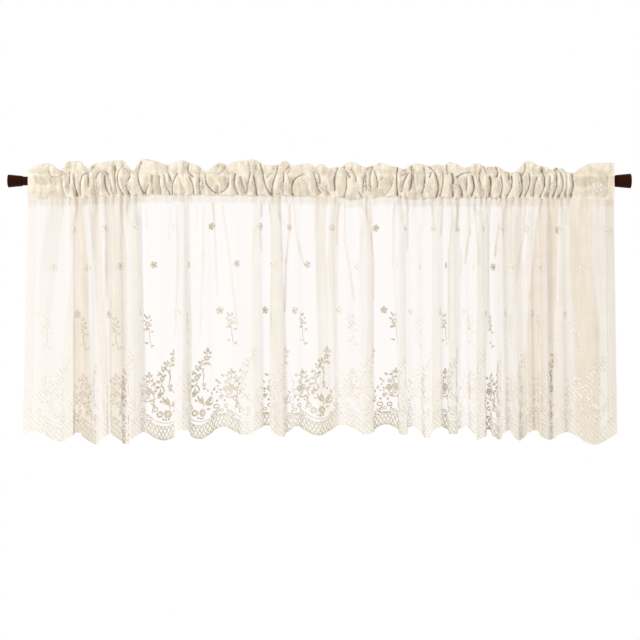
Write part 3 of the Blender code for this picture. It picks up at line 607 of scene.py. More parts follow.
    def wave_sum(self, waves: Chart, flat: Array, up: Array, wander: float) -> Array:
        """Sum of sines along the cloth whose phase drifts with the height and wanders by a sine.

        Args:
            waves: the sines' chart.
            flat: distance across the flat cloth.
            up: distance that the slant goes by.
            wander: how far the phase wanders.

        Returns:
            Heights of the waves.
        """
        total = np.zeros_like(flat)
        for spacing, height, slant, phase in zip(*waves.values()):
            drift = slant * up + wander * np.sin(flat / self.wander_length + phase)
            total += height * np.sin(2 * math.pi * flat / spacing + drift + phase)
        return total

    def waves(self, flat: Array, level: Array, drop: Array) -> Array:
        """Height of the cloth's soft waves: the heading's, which fade into the skirt's.

        Args:
            flat: distance across the flat cloth.
            level: height in the heading before it is stretched to the ruffle.
            drop: height over the scallops' low points.

        Returns:
            Distances outward.
        """
        fade = smooth(1.0 + (drop - self.skirt_drop) / self.wave_fade)
        for from_side in (flat, self.width - flat):
            fade = fade * smooth((from_side - self.wave_margin) / self.wave_side)
        heading = self.wave_sum(HEADING_WAVES, flat, level, self.wander)
        return heading * fade + self.wave_sum(SKIRT_WAVES, flat, drop, 0.0) * (1.0 - fade)

    def place(self, flat: Array, drop: Array) -> Array:
        """Where flat places hang.

        Below the stitch line the height runs evenly from the scallops' lows. Past it the cloth
        goes up in front of the rod, over the ruffle's top and down behind.

        Args:
            flat: distance across the flat cloth.
            drop: height over the scallops' low points.

        Returns:
            Points as (x, y, z) on the last axis.
        """
        flat = np.clip(flat, 0.0, self.width)
        height = drop / self.skirt_drop
        rise = np.maximum(drop - self.skirt_drop, 0.0)
        x, y = self.plan(flat, height)
        ahead = self.plan(np.minimum(flat + self.plan_reach, self.width), height)
        run_x, run_y = ahead - self.plan(np.maximum(flat - self.plan_reach, 0.0), height)
        even = self.flatten * smooth(rise / self.flatten_run)
        line_x = self.evened(flat)
        x = x + (line_x - x) * even
        y = y + (self.plans[1, -1].mean() - y) * even
        normal_x = run_y / np.hypot(run_x, run_y) * (1.0 - even)
        normal_y = -np.sqrt(1.0 - normal_x**2)
        behind = rise > self.top_level - self.stitch_level
        level = np.where(behind, 2 * self.top_level - self.stitch_level - rise, self.stitch_level + rise)
        side = np.where(behind, 1.0, -1.0)
        opened = self.opened(level, line_x)
        nested = np.where(behind, self.gather_depth - self.nested_centre, self.nested_centre)
        reach_out = self.pocket_reach + self.valley_sway + nested
        before_turn = np.clip(1.0 - (self.top_level - level) / self.turn_depth, 0.0, 1.0)
        started = smooth((drop - self.skirt_drop) / self.layer_offset_drop + 1.0)
        offset = -side * self.layer_offset * np.sqrt(1.0 - before_turn**2) * started
        offset = offset + self.waves(flat, level, drop)
        ruffled = np.clip((level - self.ruffle_start) / (self.top_level - self.ruffle_start), 0.0, 1.0)
        swell = np.sin(math.pi * ruffled**self.bulge_power)
        offset = offset - side * self.ruffle_bulge * self.gather_wave(flat) * swell
        sway = self.ruffle_sway * np.sin(flat / self.ruffle_sway_length + self.ruffle_sway_phase)
        lean = self.ruffle_lean * np.sin(flat / self.ruffle_lean_length)
        x = x + normal_x * offset + sway * ruffled
        y = y + normal_y * offset + side * reach_out * opened + lean * ruffled
        x = x + self.draw_in * (line_x.mean() - line_x) * opened
        z = self.hung_height(flat, drop, level, line_x)
        y = y + side * self.pinched(x, z, rise) * (1.0 - before_turn)
        return np.stack((x, y, z), axis=-1)

    def hung_height(self, flat: Array, drop: Array, level: Array, line_x: Array) -> Array:
        """Height over the rod's axis.

        The skirt's heights run in proportion from its scallop's low to the stitch line. The
        heading's stop at the ruffle's start, and above it they stretch up to the ruffle's chart.

        Args:
            flat: distance across the flat cloth.
            drop: height over the scallops' low points.
            level: height in the heading before it is stretched to the ruffle.
            line_x: hung place across without the gathers.

        Returns:
            The heights.
        """
        stitch = self.seam(line_x)
        lows = self.first_scallop + self.scallop_pitch * np.arange(len(SCALLOP_LOWS))
        low = -np.interp(flat, lows, SCALLOP_LOWS)
        skirt = low + (stitch - low) * np.minimum(drop / self.skirt_drop, 1.0)
        stretch = (self.ruffle(line_x) - self.ruffle_start) / (self.top_level - self.ruffle_start)
        ruffled = self.ruffle_start + (level - self.ruffle_start) * stretch
        pocket = np.where(level < 0, level * stitch / self.stitch_level, level)
        heading = np.where(level > self.ruffle_start, ruffled, pocket)
        return np.where(drop < self.skirt_drop, skirt, heading)

    def opened(self, level: Array, line_x: Array) -> Array:
        """How far the pocket stands open: soft steps up from its foot and down to its head.

        Args:
            level: height in the heading before it is stretched to the ruffle.
            line_x: hung place across without the gathers.

        Returns:
            Shares of the full opening.
        """
        turn = line_x / self.close_length + self.close_turn * np.sin(line_x / self.close_turn_length)
        swayed = level + self.close_sway * np.sin(turn) * (level > 0)
        opening = (level - self.pocket_foot) / (-self.pocket_flat - self.pocket_foot)
        closing = (swayed - self.pocket_flat) / (self.pocket_head - self.pocket_flat)
        return smooth(opening) * (1.0 - smooth(closing))

    def evened(self, flat: Array) -> Array:
        """Place across of the heading without its gathers: even over each fold."""
        top = self.plans[0, -1]
        return np.interp(flat, self.starts, np.append(top[:, 0], top[-1, -1]))

    def pinched(self, x: Array, z: Array, rise: Array) -> Array:
        """How far the heading stands out between its creases and hollows.

        Distance to the nearest crease gives puff times 1 - exp(-distance / reach). Creases and
        hollows take their depth away, and small wrinkles are products of sines.

        Args:
            x: hung place across.
            z: height over the rod's axis.
            rise: length of cloth past the stitch line.

        Returns:
            Distances outward.
        """
        out = np.zeros(x.shape)
        over = rise > 0.0
        if not over.any():
            return out
        x, z = x[over], z[over]
        nearest, pressed, _ = self.pressed(x, z)
        hollow = self.hollow(x, z)
        a, b, c, d = self.wrinkle_lengths
        small = np.sin(x / a + self.wrinkle_turn * np.sin(z / b)) * np.sin(z / c + x / d)
        a, b, c, d = self.fine_lengths
        fine = np.sin(x / a - z / b) * np.sin(z / c + self.wrinkle_turn * np.sin(x / d))
        a, b = self.ripple_lengths
        striped = np.sin(z / a + x / b) * hollow
        puffed = self.puff_out * (1.0 - np.exp(-nearest / self.puff_reach))
        shape = puffed - self.groove * pressed - self.hollow_depth * hollow
        shape = shape + self.wrinkle * small + self.fine_wrinkle * fine + self.ripple * striped
        out[over] = smooth(rise[over] / self.puff_start) * shape
        return out

    def pressed(self, x: Array, z: Array) -> tuple[Array, Array, Array]:
        """The heading's creases: exp(-distance / width) across each, wider towards its foot.

        Args:
            x: hung place across.
            z: height over the rod's axis.

        Returns:
            Distance to the nearest crease, how strongly one presses, and how much painted highlight
            lies beside one.
        """
        nearest = np.full(x.shape, self.no_crease)
        pressed = np.zeros(x.shape)
        painted_light = np.zeros(x.shape)
        for foot, foot_height, head, head_height, bow, strength in zip(*PINCHES.values()):
            distance, along = line_distance(x, z, (foot, foot_height), (head, head_height), bow)
            width = self.groove_width * (1.0 + self.flare * np.exp(-along / self.flare_run))
            beside = (distance - self.highlight_away) / self.highlight_width
            nearest = np.minimum(nearest, distance)
            pressed = np.maximum(pressed, strength * np.exp(-distance / width))
            # A painted highlight line a little way beside each crease.
            painted_light = np.maximum(painted_light, strength * np.exp(-(beside**2)))
        return nearest, pressed, painted_light

    def hollow(self, x: Array, z: Array) -> Array:
        """How hollow the heading is between its puffs: boxes with soft and wavy borders.

        Args:
            x: hung place across.
            z: height over the rod's axis.

        Returns:
            Shares of the full depth.
        """
        total = np.zeros(x.shape)
        a, b, c = self.warp_lengths
        x = x + self.hollow_warp * np.sin(z / a + x / b)
        z = z + self.hollow_warp * np.sin(x / c)
        for left, right, foot, head, depth in zip(*HOLLOWS.values()):
            inside = step_at(x, left, self.hollow_side) * step_at(-x, -right, self.hollow_side)
            inside = inside * step_at(z, foot, self.hollow_end) * step_at(-z, -head, self.hollow_end)
            total = np.maximum(total, depth * inside)
        return total

    def heading_tones(self, points: Array, flat: Array, rise: Array) -> tuple[Array, Array]:
        """Painted shade and painted light on the heading's thread.

        Args:
            points: hung points.
            flat: distance across the flat cloth.
            rise: length of cloth past the stitch line.

        Returns:
            Painted shade of creases, hollows and pleats, and painted light beside the creases, at the
            puffs' feet and up the ruffle.
        """
        x, z = points[..., 0], points[..., 2]
        _, pressed, painted_light = self.pressed(x, z)
        hollow = self.hollow(x, z)
        # Painted shade: creases, hollows and pleats darken the heading's colour.
        painted_dark = np.clip((pressed - self.shade_from) / (1.0 - self.shade_from), 0.0, 1.0)
        a, b = self.pleat_lengths
        lean = self.pleat_bend * np.sin(z / a + flat / b)
        pleat = (1.0 - self.gather_wave(flat + lean)) ** self.pleat_power
        fine = (1.0 - self.gather_wave(self.fine_pleats * flat - lean)) ** self.fine_pleat_power
        pleat = (pleat + self.fine_pleat_share * fine) * smooth((z - self.ruffle_start) / self.pleat_soft)
        painted_dark = painted_dark + self.hollow_shade * hollow + self.pleat_shade * pleat
        # Painted light: beside the creases, at the puffs' feet and up the ruffle.
        foot = self.foot_painted_light * np.exp(-np.maximum(rise, 0.0) / self.foot_reach)
        foot = np.maximum(foot, self.ruffle_painted_light * smooth((z - self.ruffle_start) / self.ruffle_soft))
        light = np.maximum(painted_light, foot * (1.0 - hollow)) * (1.0 - pressed)
        return np.clip(painted_dark, 0.0, 1.0), light

    def raised(self, flat: Array, drop: Array, lift: Array) -> Array:
        """Points lifted off the cloth's face along its normal, the cross product of two tangents.

        Args:
            flat: distance across the flat cloth.
            drop: height over the scallops' low points.
            lift: distance in front of the cloth.

        Returns:
            The points.
        """
        reach = self.face_reach
        right = self.place(flat + reach, drop) - self.place(flat - reach, drop)
        up = self.place(flat, drop + reach) - self.place(flat, drop - reach)
        normal = np.cross(right, up)
        normal /= np.maximum(np.linalg.norm(normal, axis=-1, keepdims=True), TINY)
        return self.place(flat, drop) + normal * lift[..., None]

    def charted(self, points: Array, scale: tuple[float, ...], at_top: str, at_hem: str) -> Array:
        """A value charted for the hung cloth: soft steps at the stretches' left borders, added up.

        Args:
            points: hung points.
            scale: what the chart's numbers stand for.
            at_top: the column that holds near the heading.
            at_hem: the column that holds at the hem.

        Returns:
            The value at each point.
        """
        x, z = points[..., 0], points[..., 2]
        heights = tuple(LEVELS.values())
        up = np.clip((z - heights[0]) / (heights[-1] - heights[0]), 0.0, 1.0)
        borders = np.stack([STRETCHES[level] for level in LEVELS], axis=1)
        tops, hems = (np.take(scale, STRETCHES[name].astype(int)) for name in (at_top, at_hem))
        total, before = np.zeros(x.shape), np.zeros(x.shape)
        for border, top, hem in zip(borders, tops, hems):
            value = hem + (top - hem) * up
            total += (value - before) * step_at(x, np.interp(z, heights, border), self.border_soft)
            before = value
        return total

    def layer_part(self, points: Array) -> Array:
        """How much of what one sheet's layers show together each point's own layer shows.

        Every step between neighbours counts with its facing, its sideways run over its length.
        The facings are added where a step starts and taken away where it ends, so their running
        sum along the row is the facing of all layers in each narrow bin.

        Args:
            points: hung points, one row per height.

        Returns:
            Own facing over the facing of all layers there, up to 1.
        """
        x, y = points[..., 0], points[..., 1]
        run = np.abs(np.diff(x, axis=1))
        facing = np.maximum(run / np.maximum(np.hypot(run, np.diff(y, axis=1)), TINY), self.least_facing)
        before = np.concatenate((facing[:, :1], facing), axis=1)
        after = np.concatenate((facing, facing[:, -1:]), axis=1)
        own = (before + after) / 2
        bins = ((x - x.min()) / self.bin_width).astype(int)
        size = len(x), int(bins.max()) + 1
        bins = bins + np.arange(size[0])[:, None] * size[1]
        ends = bins[:, 1:], bins[:, :-1]
        added, taken = (
            np.bincount(pick(*ends).ravel(), weights=facing.ravel(), minlength=size[0] * size[1])
            for pick in (np.minimum, np.maximum)
        )
        found = np.cumsum((added - taken).reshape(size), axis=1).ravel()
        return own / np.maximum(found[bins], own)

    def closeness(self, points: Array, part: Array | float = 1.0) -> tuple[Array, Array]:
        """Share of thread that one layer of the net shows.

        What is charted is what all layers show together, so a layer with a part p of it shows
        1 - (1 - share) to the power of p. The net is closer just under the stitch line. It is also
        closer on the folds' crests than in their valleys: painted light and shade that lightens the
        shaded valleys and darkens the lit crests.

        Args:
            points: hung points.
            part: each layer's part.

        Returns:
            The layer's share and that of all layers, from 0 to 1.
        """
        x, y, z = np.moveaxis(points, -1, 0)
        share = self.charted(points, DENSITIES, "density_top", "density_hem")
        # Painted light and shade: thinner net in the shaded valleys, closer on the lit crests.
        ahead = np.clip((self.crest_valley_middle - y) / self.crest_valley_reach, -1.0, 1.0)
        share = share * (1.0 + self.relief * ahead)
        for top, top_height, foot, foot_height, strength in zip(*LINES.values()):
            distance, _ = line_distance(x, z, (foot, foot_height), (top, top_height))
            share = share + LINE_SHARES[strength] * np.exp(-((distance / self.line_width) ** 2))
        under = step_at(z, self.seam(x) - self.under_reach, self.under_soft)
        share = np.clip(share + self.under_share * under, *self.share_limits)
        return 1.0 - (1.0 - share) ** part, share

    def figure_tone(self, drop: Array, points: Array) -> Array:
        """How light lace figures look, from 0 to 1: charted for the skirt, light on the heading."""
        heading = np.where(points[..., 0] > self.flat_from, self.flat_tone, self.gathered_tone)
        return np.where(drop > self.skirt_drop, heading, self.charted(points, TONES, "tone", "tone"))


class NodeTree:
    """Small helper that fills the node tree of one material or world."""

    def __init__(self, owner: Material | bpy.types.World) -> None:
        """Starts with an empty tree.

        Args:
            owner: whose tree it is.
        """
        owner.use_nodes = True
        self.owner = owner
        self.tree = owner.node_tree
        self.tree.nodes.clear()

    def add(self, kind: str, values: dict | None = None, **settings: object) -> bpy.types.Node:
        """Adds one node.

        Args:
            kind: the node's type, without the word ShaderNode.
            values: input socket name or number to a value, or to another node's output.
            settings: properties of the node.

        Returns:
            The new node.
        """
        node = self.tree.nodes.new("ShaderNode" + kind)
        for name, value in settings.items():
            setattr(node, name, value)
        for socket, value in (values or {}).items():
            if isinstance(value, Socket):
                self.tree.links.new(value, node.inputs[socket])
            else:
                node.inputs[socket].default_value = value
        return node

    def flat_map(self) -> Socket:
        """Place in the flat cloth, in metres."""
        return self.add("UVMap", uv_map="flat").outputs["UV"]

    def value(self, name: str) -> Socket:
        """The points' values of one name."""
        return self.add("Attribute", attribute_name=name).outputs["Fac"]

    def ranged(
        self,
        value: Socket,
        source: tuple[float, float] = (0.0, 1.0),
        target: tuple[float, float] = (0.0, 1.0),
    ) -> Socket:
        """A value carried from its source range to its target range, and held at the ends."""
        ends = {"From Min": source[0], "From Max": source[1], "To Min": target[0], "To Max": target[1]}
        return self.add("MapRange", {"Value": value, **ends}).outputs["Result"]

    def combine(self, operation: str, first: object, second: object, clamped: bool = False) -> Socket:
        """One number out of two by an operation, held between 0 and 1 where it is clamped."""
        return self.add("Math", {0: first, 1: second}, operation=operation, use_clamp=clamped).outputs[0]

    def mix(self, factor: Socket, at_none: object, at_full: object) -> Socket:
        """Colour between two colours or outputs."""
        ends = {"Factor": factor, "A": at_none, "B": at_full}
        return self.add("Mix", ends, data_type="RGBA").outputs["Result"]

    def noise(self, vector: Socket, scale: float, detail: float, roughness: float = 0.5) -> Socket:
        """Noise texture over a vector."""
        values = {"Vector": vector, "Scale": scale, "Detail": detail, "Roughness": roughness}
        return self.add("TexNoise", values).outputs["Fac"]

    def streaks(self, vector: Socket, scale: tuple[float, float, float], detail: float) -> Socket:
        """Noise stretched by a different scale along each axis."""
        stretched = self.add("Mapping", {"Vector": vector, "Scale": scale})
        return self.noise(stretched.outputs["Vector"], 1.0, detail)

    def surface(self, height: Socket, relief: float, values: dict) -> Material:
        """Joins a Principled shader with a bump to the output.

        Args:
            height: what the bump follows.
            relief: how strong the bump is.
            values: the shader's other inputs.

        Returns:
            The finished material.
        """
        bump = self.add("Bump", {"Height": height, "Strength": relief, "Distance": BUMP_HEIGHT})
        shader = self.add("BsdfPrincipled", {**values, "Normal": bump.outputs["Normal"]})
        self.add("OutputMaterial", {"Surface": shader.outputs["BSDF"]})
        return self.owner


@dataclass(frozen=True)
class NetFinish:
    """Sheer warp-knit net: fine cells of ivory thread with open air between them."""

    name: str
    light: Colour = linear(233, 223, 211)
    deep: Colour = linear(222, 210, 193)
    sheer: Colour = linear(240, 214, 202)
    sheer_ends: tuple[float, float] = (0.15, 0.34)
    # Painted shade colour of creases, hollows and pleats, painted highlight colour, and how far each is
    # mixed in.
    painted_shade_colour: Colour = linear(132, 104, 64)
    painted_light_colour: Colour = linear(255, 252, 245)
    painted_shade_share: float = 0.68
    painted_light_share: float = 0.9
    cell: float = 1.1
    cell_wander: float = 0.35
    thread_edge: float = 0.30
    thread_spread: tuple[float, float] = (0.72, 1.5)
    drift_scale: float = 22.0
    drift_detail: float = 3.0
    drift_roughness: float = 0.6
    streak_scale: tuple[float, float, float] = (260.0, 14.0, 1.0)
    streak_detail: float = 2.0
    blend_ends: tuple[float, float] = (0.12, 0.40)
    roughness: float = 0.85
    specular: float = 0.2
    sheen: float = 0.25
    sheen_roughness: float = 0.5
    relief: float = 0.25

    def material(self) -> Material:
        """Voronoi cell borders on the flat cloth's own UV map are thread, the rest is mostly air.

        "closeness" gives the mean share of thread, so tight gathers look dense. "whole" moves the colour
        towards the sheer one, and two more attributes move it towards a painted highlight and a painted
        shade colour.

        Returns:
            The material.
        """
        t = NodeTree(bpy.data.materials.new(self.name))
        uv = t.flat_map()
        cells = t.add(
            "TexVoronoi",
            {"Vector": uv, "Scale": 1.0 / (self.cell * MM), "Randomness": self.cell_wander},
            feature="DISTANCE_TO_EDGE",
            voronoi_dimensions="2D",
        )
        thread = t.combine("SUBTRACT", 1.0, t.ranged(cells.outputs["Distance"], (0.0, self.thread_edge)))
        spread = t.ranged(thread, target=self.thread_spread)
        alpha = t.combine("MULTIPLY", t.value("closeness"), spread, clamped=True)
        drift = t.noise(uv, self.drift_scale, self.drift_detail, roughness=self.drift_roughness)
        streak = t.streaks(uv, self.streak_scale, self.streak_detail)
        blend = t.ranged(t.combine("MULTIPLY", drift, streak), self.blend_ends)
        colour = t.mix(blend, self.deep, self.light)
        colour = t.mix(t.ranged(t.value("whole"), self.sheer_ends), self.sheer, colour)
        # Painted highlight, then painted shade, on the heading's colour.
        colour = t.mix(t.ranged(t.value("painted_light"), target=(0.0, self.painted_light_share)), colour, self.painted_light_colour)
        colour = t.mix(t.ranged(t.value("painted_shade"), target=(0.0, self.painted_shade_share)), colour, self.painted_shade_colour)
        values = {
            "Base Color": colour,
            "Roughness": self.roughness,
            "Specular IOR Level": self.specular,
            "Sheen Weight": self.sheen,
            "Sheen Roughness": self.sheen_roughness,
            "Alpha": alpha,
        }
        return t.surface(thread, self.relief, values)


@dataclass(frozen=True)
class ThreadFinish:
    """Heavier pattern thread of the lace figures, border and stitches."""

    name: str
    light: Colour = linear(244, 239, 232)
    deep: Colour = linear(166, 150, 116)
    twist: float = 0.7
    wave_turn: float = 20.0
    distortion: float = 1.5
    detail: float = 1.0
    shading: float = 0.12
    roughness: float = 0.75
    specular: float = 0.25
    sheen: float = 0.3
    sheen_roughness: float = 0.4
    relief: float = 0.35

    def material(self) -> Material:
        """Thread rows as waves across the flat cloth, coloured between deep and light by "tone".

        Returns:
            The material.
        """
        t = NodeTree(bpy.data.materials.new(self.name))
        scale = 1.0 / (self.twist * MM * self.wave_turn)
        rows = t.add(
            "TexWave",
            {"Vector": t.flat_map(), "Scale": scale, "Distortion": self.distortion, "Detail": self.detail},
            bands_direction="DIAGONAL",
        ).outputs["Fac"]
        shift = t.ranged(rows, target=(-self.shading, self.shading))
        tone = t.combine("ADD", t.value("tone"), shift, clamped=True)
        values = {
            "Base Color": t.mix(tone, self.deep, self.light),
            "Roughness": self.roughness,
            "Specular IOR Level": self.specular,
            "Sheen Weight": self.sheen,
            "Sheen Roughness": self.sheen_roughness,
        }
        return t.surface(rows, self.relief, values)


@dataclass(frozen=True)
class EnamelFinish:
    """Dark brown baked finish of the rod and its caps, with a faint orange peel."""

    name: str
    base: Colour = linear(40, 12, 1)
    worn: Colour = linear(60, 24, 5)
    drawn_scale: tuple[float, float, float] = (30.0, 140.0, 140.0)
    drawn_detail: float = 4.0
    worn_ends: tuple[float, float] = (0.35, 0.75)
    roughness: tuple[float, float] = (0.30, 0.46)
    peel: float = 900.0
    peel_detail: float = 1.0
    specular: float = 0.05
    coat: float = 0.02
    coat_roughness: float = 0.25
    relief: float = 0.12

    def material(self) -> Material:
        """Noise on Object coordinates moves colour and roughness, and a finer one the height.

        Returns:
            The material.
        """
        t = NodeTree(bpy.data.materials.new(self.name))
        spot = t.add("TexCoord").outputs["Object"]
        drawn = t.streaks(spot, self.drawn_scale, self.drawn_detail)
        values = {
            "Base Color": t.mix(t.ranged(drawn, self.worn_ends), self.base, self.worn),
            "Roughness": t.ranged(drawn, target=self.roughness),
            "Specular IOR Level": self.specular,
            "Coat Weight": self.coat,
            "Coat Roughness": self.coat_roughness,
        }
        return t.surface(t.noise(spot, self.peel, self.peel_detail), self.relief, values)


def add_object(name: str, data: bpy.types.ID) -> Piece:
    """New object linked to the scene.

    Args:
        name: its name.
        data: its mesh, light or camera.

    Returns:
        The object.
    """
    thing = bpy.data.objects.new(name, data)
    bpy.context.scene.collection.objects.link(thing)
    return thing


def grid_faces(rows: int, columns: int) -> Array:
    """Quads of a grid of points numbered row by row, facing the front."""
    start = (np.arange(rows - 1)[:, None] * columns + np.arange(columns - 1)[None, :]).ravel()
    return np.column_stack((start, start + 1, start + 1 + columns, start + columns))


def cloth_piece(
    name: str,
    points: Array,
    faces: Array,
    flats: tuple[Array, Array],
    values: dict[str, Array],
    material: Material,
) -> Piece:
    """New piece of the cloth from arrays, declared to the frame.

    Args:
        name: the object's name.
        points: places in millimetres, with x, y and z on the last axis.
        faces: point numbers of the quads.
        flats: each point's distance across the flat cloth, and its height in it.
        values: attribute name to one value per point.
        material: the finish.

    Returns:
        The object, smooth shaded, with a UV map named flat in metres.
    """
    mesh = bpy.data.meshes.new(name)
    mesh.vertices.add(points.size // 3)
    mesh.vertices.foreach_set("co", (points * MM).astype(np.float32).ravel())
    mesh.loops.add(faces.size)
    mesh.loops.foreach_set("vertex_index", faces.astype(np.int32).ravel())
    mesh.polygons.add(len(faces))
    mesh.polygons.foreach_set("loop_start", np.arange(0, faces.size, faces.shape[1], dtype=np.int32))
    mesh.update(calc_edges=True)
    corners = np.stack([place.ravel()[faces.ravel()] for place in flats], axis=-1)
    mesh.uv_layers.new(name="flat").data.foreach_set("uv", (corners * MM).astype(np.float32).ravel())
    for key, value in values.items():
        attribute = mesh.attributes.new(key, "FLOAT", "POINT")
        attribute.data.foreach_set("value", value.astype(np.float32).ravel())
    mesh.shade_smooth()
    mesh.materials.append(material)
    piece = add_object(name, mesh)
    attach(piece, "root")
    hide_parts("valance_cloth")
    LOG.info("%s: %d faces", name, len(faces))
    return piece


@dataclass
class GroundCloth:
    """The net itself: the skirt's sheet, the heading's sheet, and the turned-in side hems."""

    drape: Drape
    finish: NetFinish
    heading_finish: NetFinish

    # Skirt, from its open border up
    columns: int = 1240
    skirt_rows: int = 76
    top_rows: int = 10
    top_run: float = 20.0
    border_height: float = 21.5
    border_rows: int = 8
    border_reach: float = 0.98
    border_open: float = 0.03
    border_soft: float = 0.5
    edge_band: float = 1.5

    # Heading, from the stitch line up the front and down the back
    heading_columns: int = 1120
    heading_rows: int = 86
    heading_share: float = 0.93
    heading_length: float = 127.0
    heading_fade: float = 6.0

    # Side hems
    hem_width: float = 15.0
    hem_columns: int = 9
    hem_gap: float = 0.6
    hem_share: float = 0.5
    hem_whole: float = 0.5
    hem_foot: float = 3.0
    hem_head: float = 1.0

    def heights(self, layer: Layer, flat: Array) -> Array:
        """Heights in the flat cloth of a sheet's rows.

        Skirt rows follow the scallops up through the open border, then straighten towards the
        stitch line. Heading rows are level.

        Args:
            layer: which sheet.
            flat: distance across the flat cloth of its columns.

        Returns:
            The heights, one row per row of the sheet.
        """
        skirt_drop = self.drape.skirt_drop
        if layer is Layer.HEADING:
            rise = np.linspace(0.0, self.heading_length, self.heading_rows)[:, None]
            return skirt_drop + rise + np.zeros(len(flat))
        low = self.drape.edge(flat) + self.edge_band
        top = self.drape.edge(flat) + self.border_height
        head_share = 1.0 - self.top_run / skirt_drop
        rows = self.skirt_rows - self.border_rows - self.top_rows
        share = np.linspace(0.0, head_share, rows, endpoint=False)
        share = np.concatenate((share, np.linspace(head_share, 1.0, self.top_rows)))[:, None]
        border = np.linspace(0.0, self.border_reach, self.border_rows)[:, None]
        return np.concatenate((low + (top - low) * border, top + (skirt_drop - top) * share))

    def sheet(self, layer: Layer, columns: int, material: Material) -> Piece:
        """One ground sheet as a grid over the flat cloth.

        Args:
            layer: which stretch to make.
            columns: how many columns the grid has.
            material: the net.

        Returns:
            The sheet.
        """
        flat = np.linspace(0.0, self.drape.width, columns)
        drop = self.heights(layer, flat)
        flat = np.broadcast_to(flat, drop.shape)
        points = self.drape.place(flat, drop)
        if layer is Layer.SKIRT:
            share, whole = self.drape.closeness(points, self.drape.layer_part(points))
            open_work = drop < self.drape.edge(flat) + self.border_height - self.border_soft
            share = np.where(open_work, np.clip(share - self.border_open, 0.0, 1.0), share)
            values = {"closeness": share, "whole": whole}
        else:
            share, _ = self.drape.closeness(points)
            rise = drop - self.drape.skirt_drop
            above = smooth(rise / self.heading_fade)
            # Painted shade and painted light for the heading's colour.
            painted_dark, light = self.drape.heading_tones(points, flat, rise)
            share = share + (self.heading_share - share) * above
            values = {"closeness": share, "whole": np.ones(drop.shape), "painted_shade": painted_dark * above, "painted_light": light}
        faces = grid_faces(*drop.shape)
        return cloth_piece(f"lace_{layer.value}", points, faces, (flat, drop), values, material)

    def side_hems(self, material: Material) -> Piece:
        """Both side edges turned in: a second layer just behind the first, hem_width wide.

        Args:
            material: the net.

        Returns:
            Both hems as one piece.
        """
        starts = np.array([0.0, self.drape.width - self.hem_width])[:, None, None]
        flat = starts + np.linspace(0.0, self.hem_width, self.hem_columns)
        low = self.drape.edge(flat) + self.hem_foot
        share = np.linspace(0.0, 1.0, self.skirt_rows)[:, None]
        drop = low + (self.drape.skirt_drop - self.hem_head - low) * share
        flat = np.broadcast_to(flat, drop.shape)
        points = self.drape.raised(flat, drop, np.full(drop.shape, -self.hem_gap))
        one = grid_faces(self.skirt_rows, self.hem_columns)
        faces = np.concatenate((one, one + self.skirt_rows * self.hem_columns))
        share, whole = self.drape.closeness(points)
        values = {"closeness": share * self.hem_share, "whole": np.maximum(whole, self.hem_whole)}
        return cloth_piece("side_hems", points, faces, (flat, drop), values, material)

    def build(self) -> tuple[Piece, Piece, Piece]:
        """Makes the net's pieces.

        Returns:
            The skirt, the heading and the side hems.
        """
        material = self.finish.material()
        skirt = self.sheet(Layer.SKIRT, self.columns, material)
        heading = self.sheet(Layer.HEADING, self.heading_columns, self.heading_finish.material())
        return skirt, heading, self.side_hems(material)


@dataclass
class Ribbons:
    """Flat thread ribbons collected over the cloth and made into one mesh."""

    drape: Drape
    lift: float = 0.35
    crown: float = 0.25
    tone_low: float = 0.0
    tone_high: float = 0.95
    margin: float = 0.5
    parts: list[tuple[Array, Array]] = field(default_factory=list)

    def add(
        self,
        x: Array | float,
        y: Array | float,
        half_width: Array | float,
        lighter: float = 0.0,
        middle: float = 0.0,
    ) -> None:
        """Carries a low three-point profile along each path.

        A ribbon point is the path's point plus t half-widths along the path's normal, with t at
        -1, 0 and 1, lifted most in the middle. Arrays have one row per ribbon and one column per
        point of its path, and what is the same along a path or for all paths may be given once.

        Args:
            x: distance across the flat cloth.
            y: height in it.
            half_width: half of the ribbon's width.
            lighter: how much lighter than its surroundings the thread looks.
            middle: painted highlight, how much lighter still the ribbon's raised middle looks.
        """
        x, y, half_width = np.broadcast_arrays(x, y, half_width)
        paths = np.stack((x, y), axis=-1)
        ahead = np.gradient(paths, axis=1)
        ahead /= np.maximum(np.linalg.norm(ahead, axis=2, keepdims=True), TINY)
        normal = np.stack((ahead[..., 1], -ahead[..., 0]), axis=-1)
        t = np.array([-1.0, 0.0, 1.0])
        spots = paths[:, :, None, :] + normal[:, :, None, :] * (half_width[:, :, None] * t)[..., None]
        inside = np.abs(spots[..., 0] - self.drape.width / 2) < self.drape.width / 2 - self.margin
        spots = spots[inside.all(axis=(1, 2))]
        # Each ribbon's middle is raised, and made lighter by a painted highlight.
        lifts, tones = (
            np.broadcast_to(side + rise * (1.0 - t * t), spots.shape[:3]).ravel()
            for side, rise in ((self.lift, self.crown), (lighter, middle))
        )
        count, length = spots.shape[:2]
        firsts = np.arange(count)[:, None, None] * length * len(t)
        faces = (grid_faces(length, len(t)) + firsts).reshape(-1, 4)
        self.parts.append((np.column_stack((spots.reshape(-1, 2), lifts, tones)), faces))

    def build(self, name: str, material: Material) -> Piece:
        """Joins what was added into one object on the cloth's face.

        Args:
            name: the object's name.
            material: the thread.

        Returns:
            The object.
        """
        firsts = np.cumsum([0] + [len(spots) for spots, _ in self.parts])
        faces = np.concatenate([part + first for (_, part), first in zip(self.parts, firsts)])
        flat, drop, lift, lighter = np.concatenate([spots for spots, _ in self.parts]).T
        points = self.drape.raised(flat, drop, lift)
        tone = np.clip(self.drape.figure_tone(drop, points) + lighter, 0.0, 1.0)
        tone = self.tone_low + (self.tone_high - self.tone_low) * tone
        return cloth_piece(name, points, faces, (flat, drop), {"tone": tone}, material)


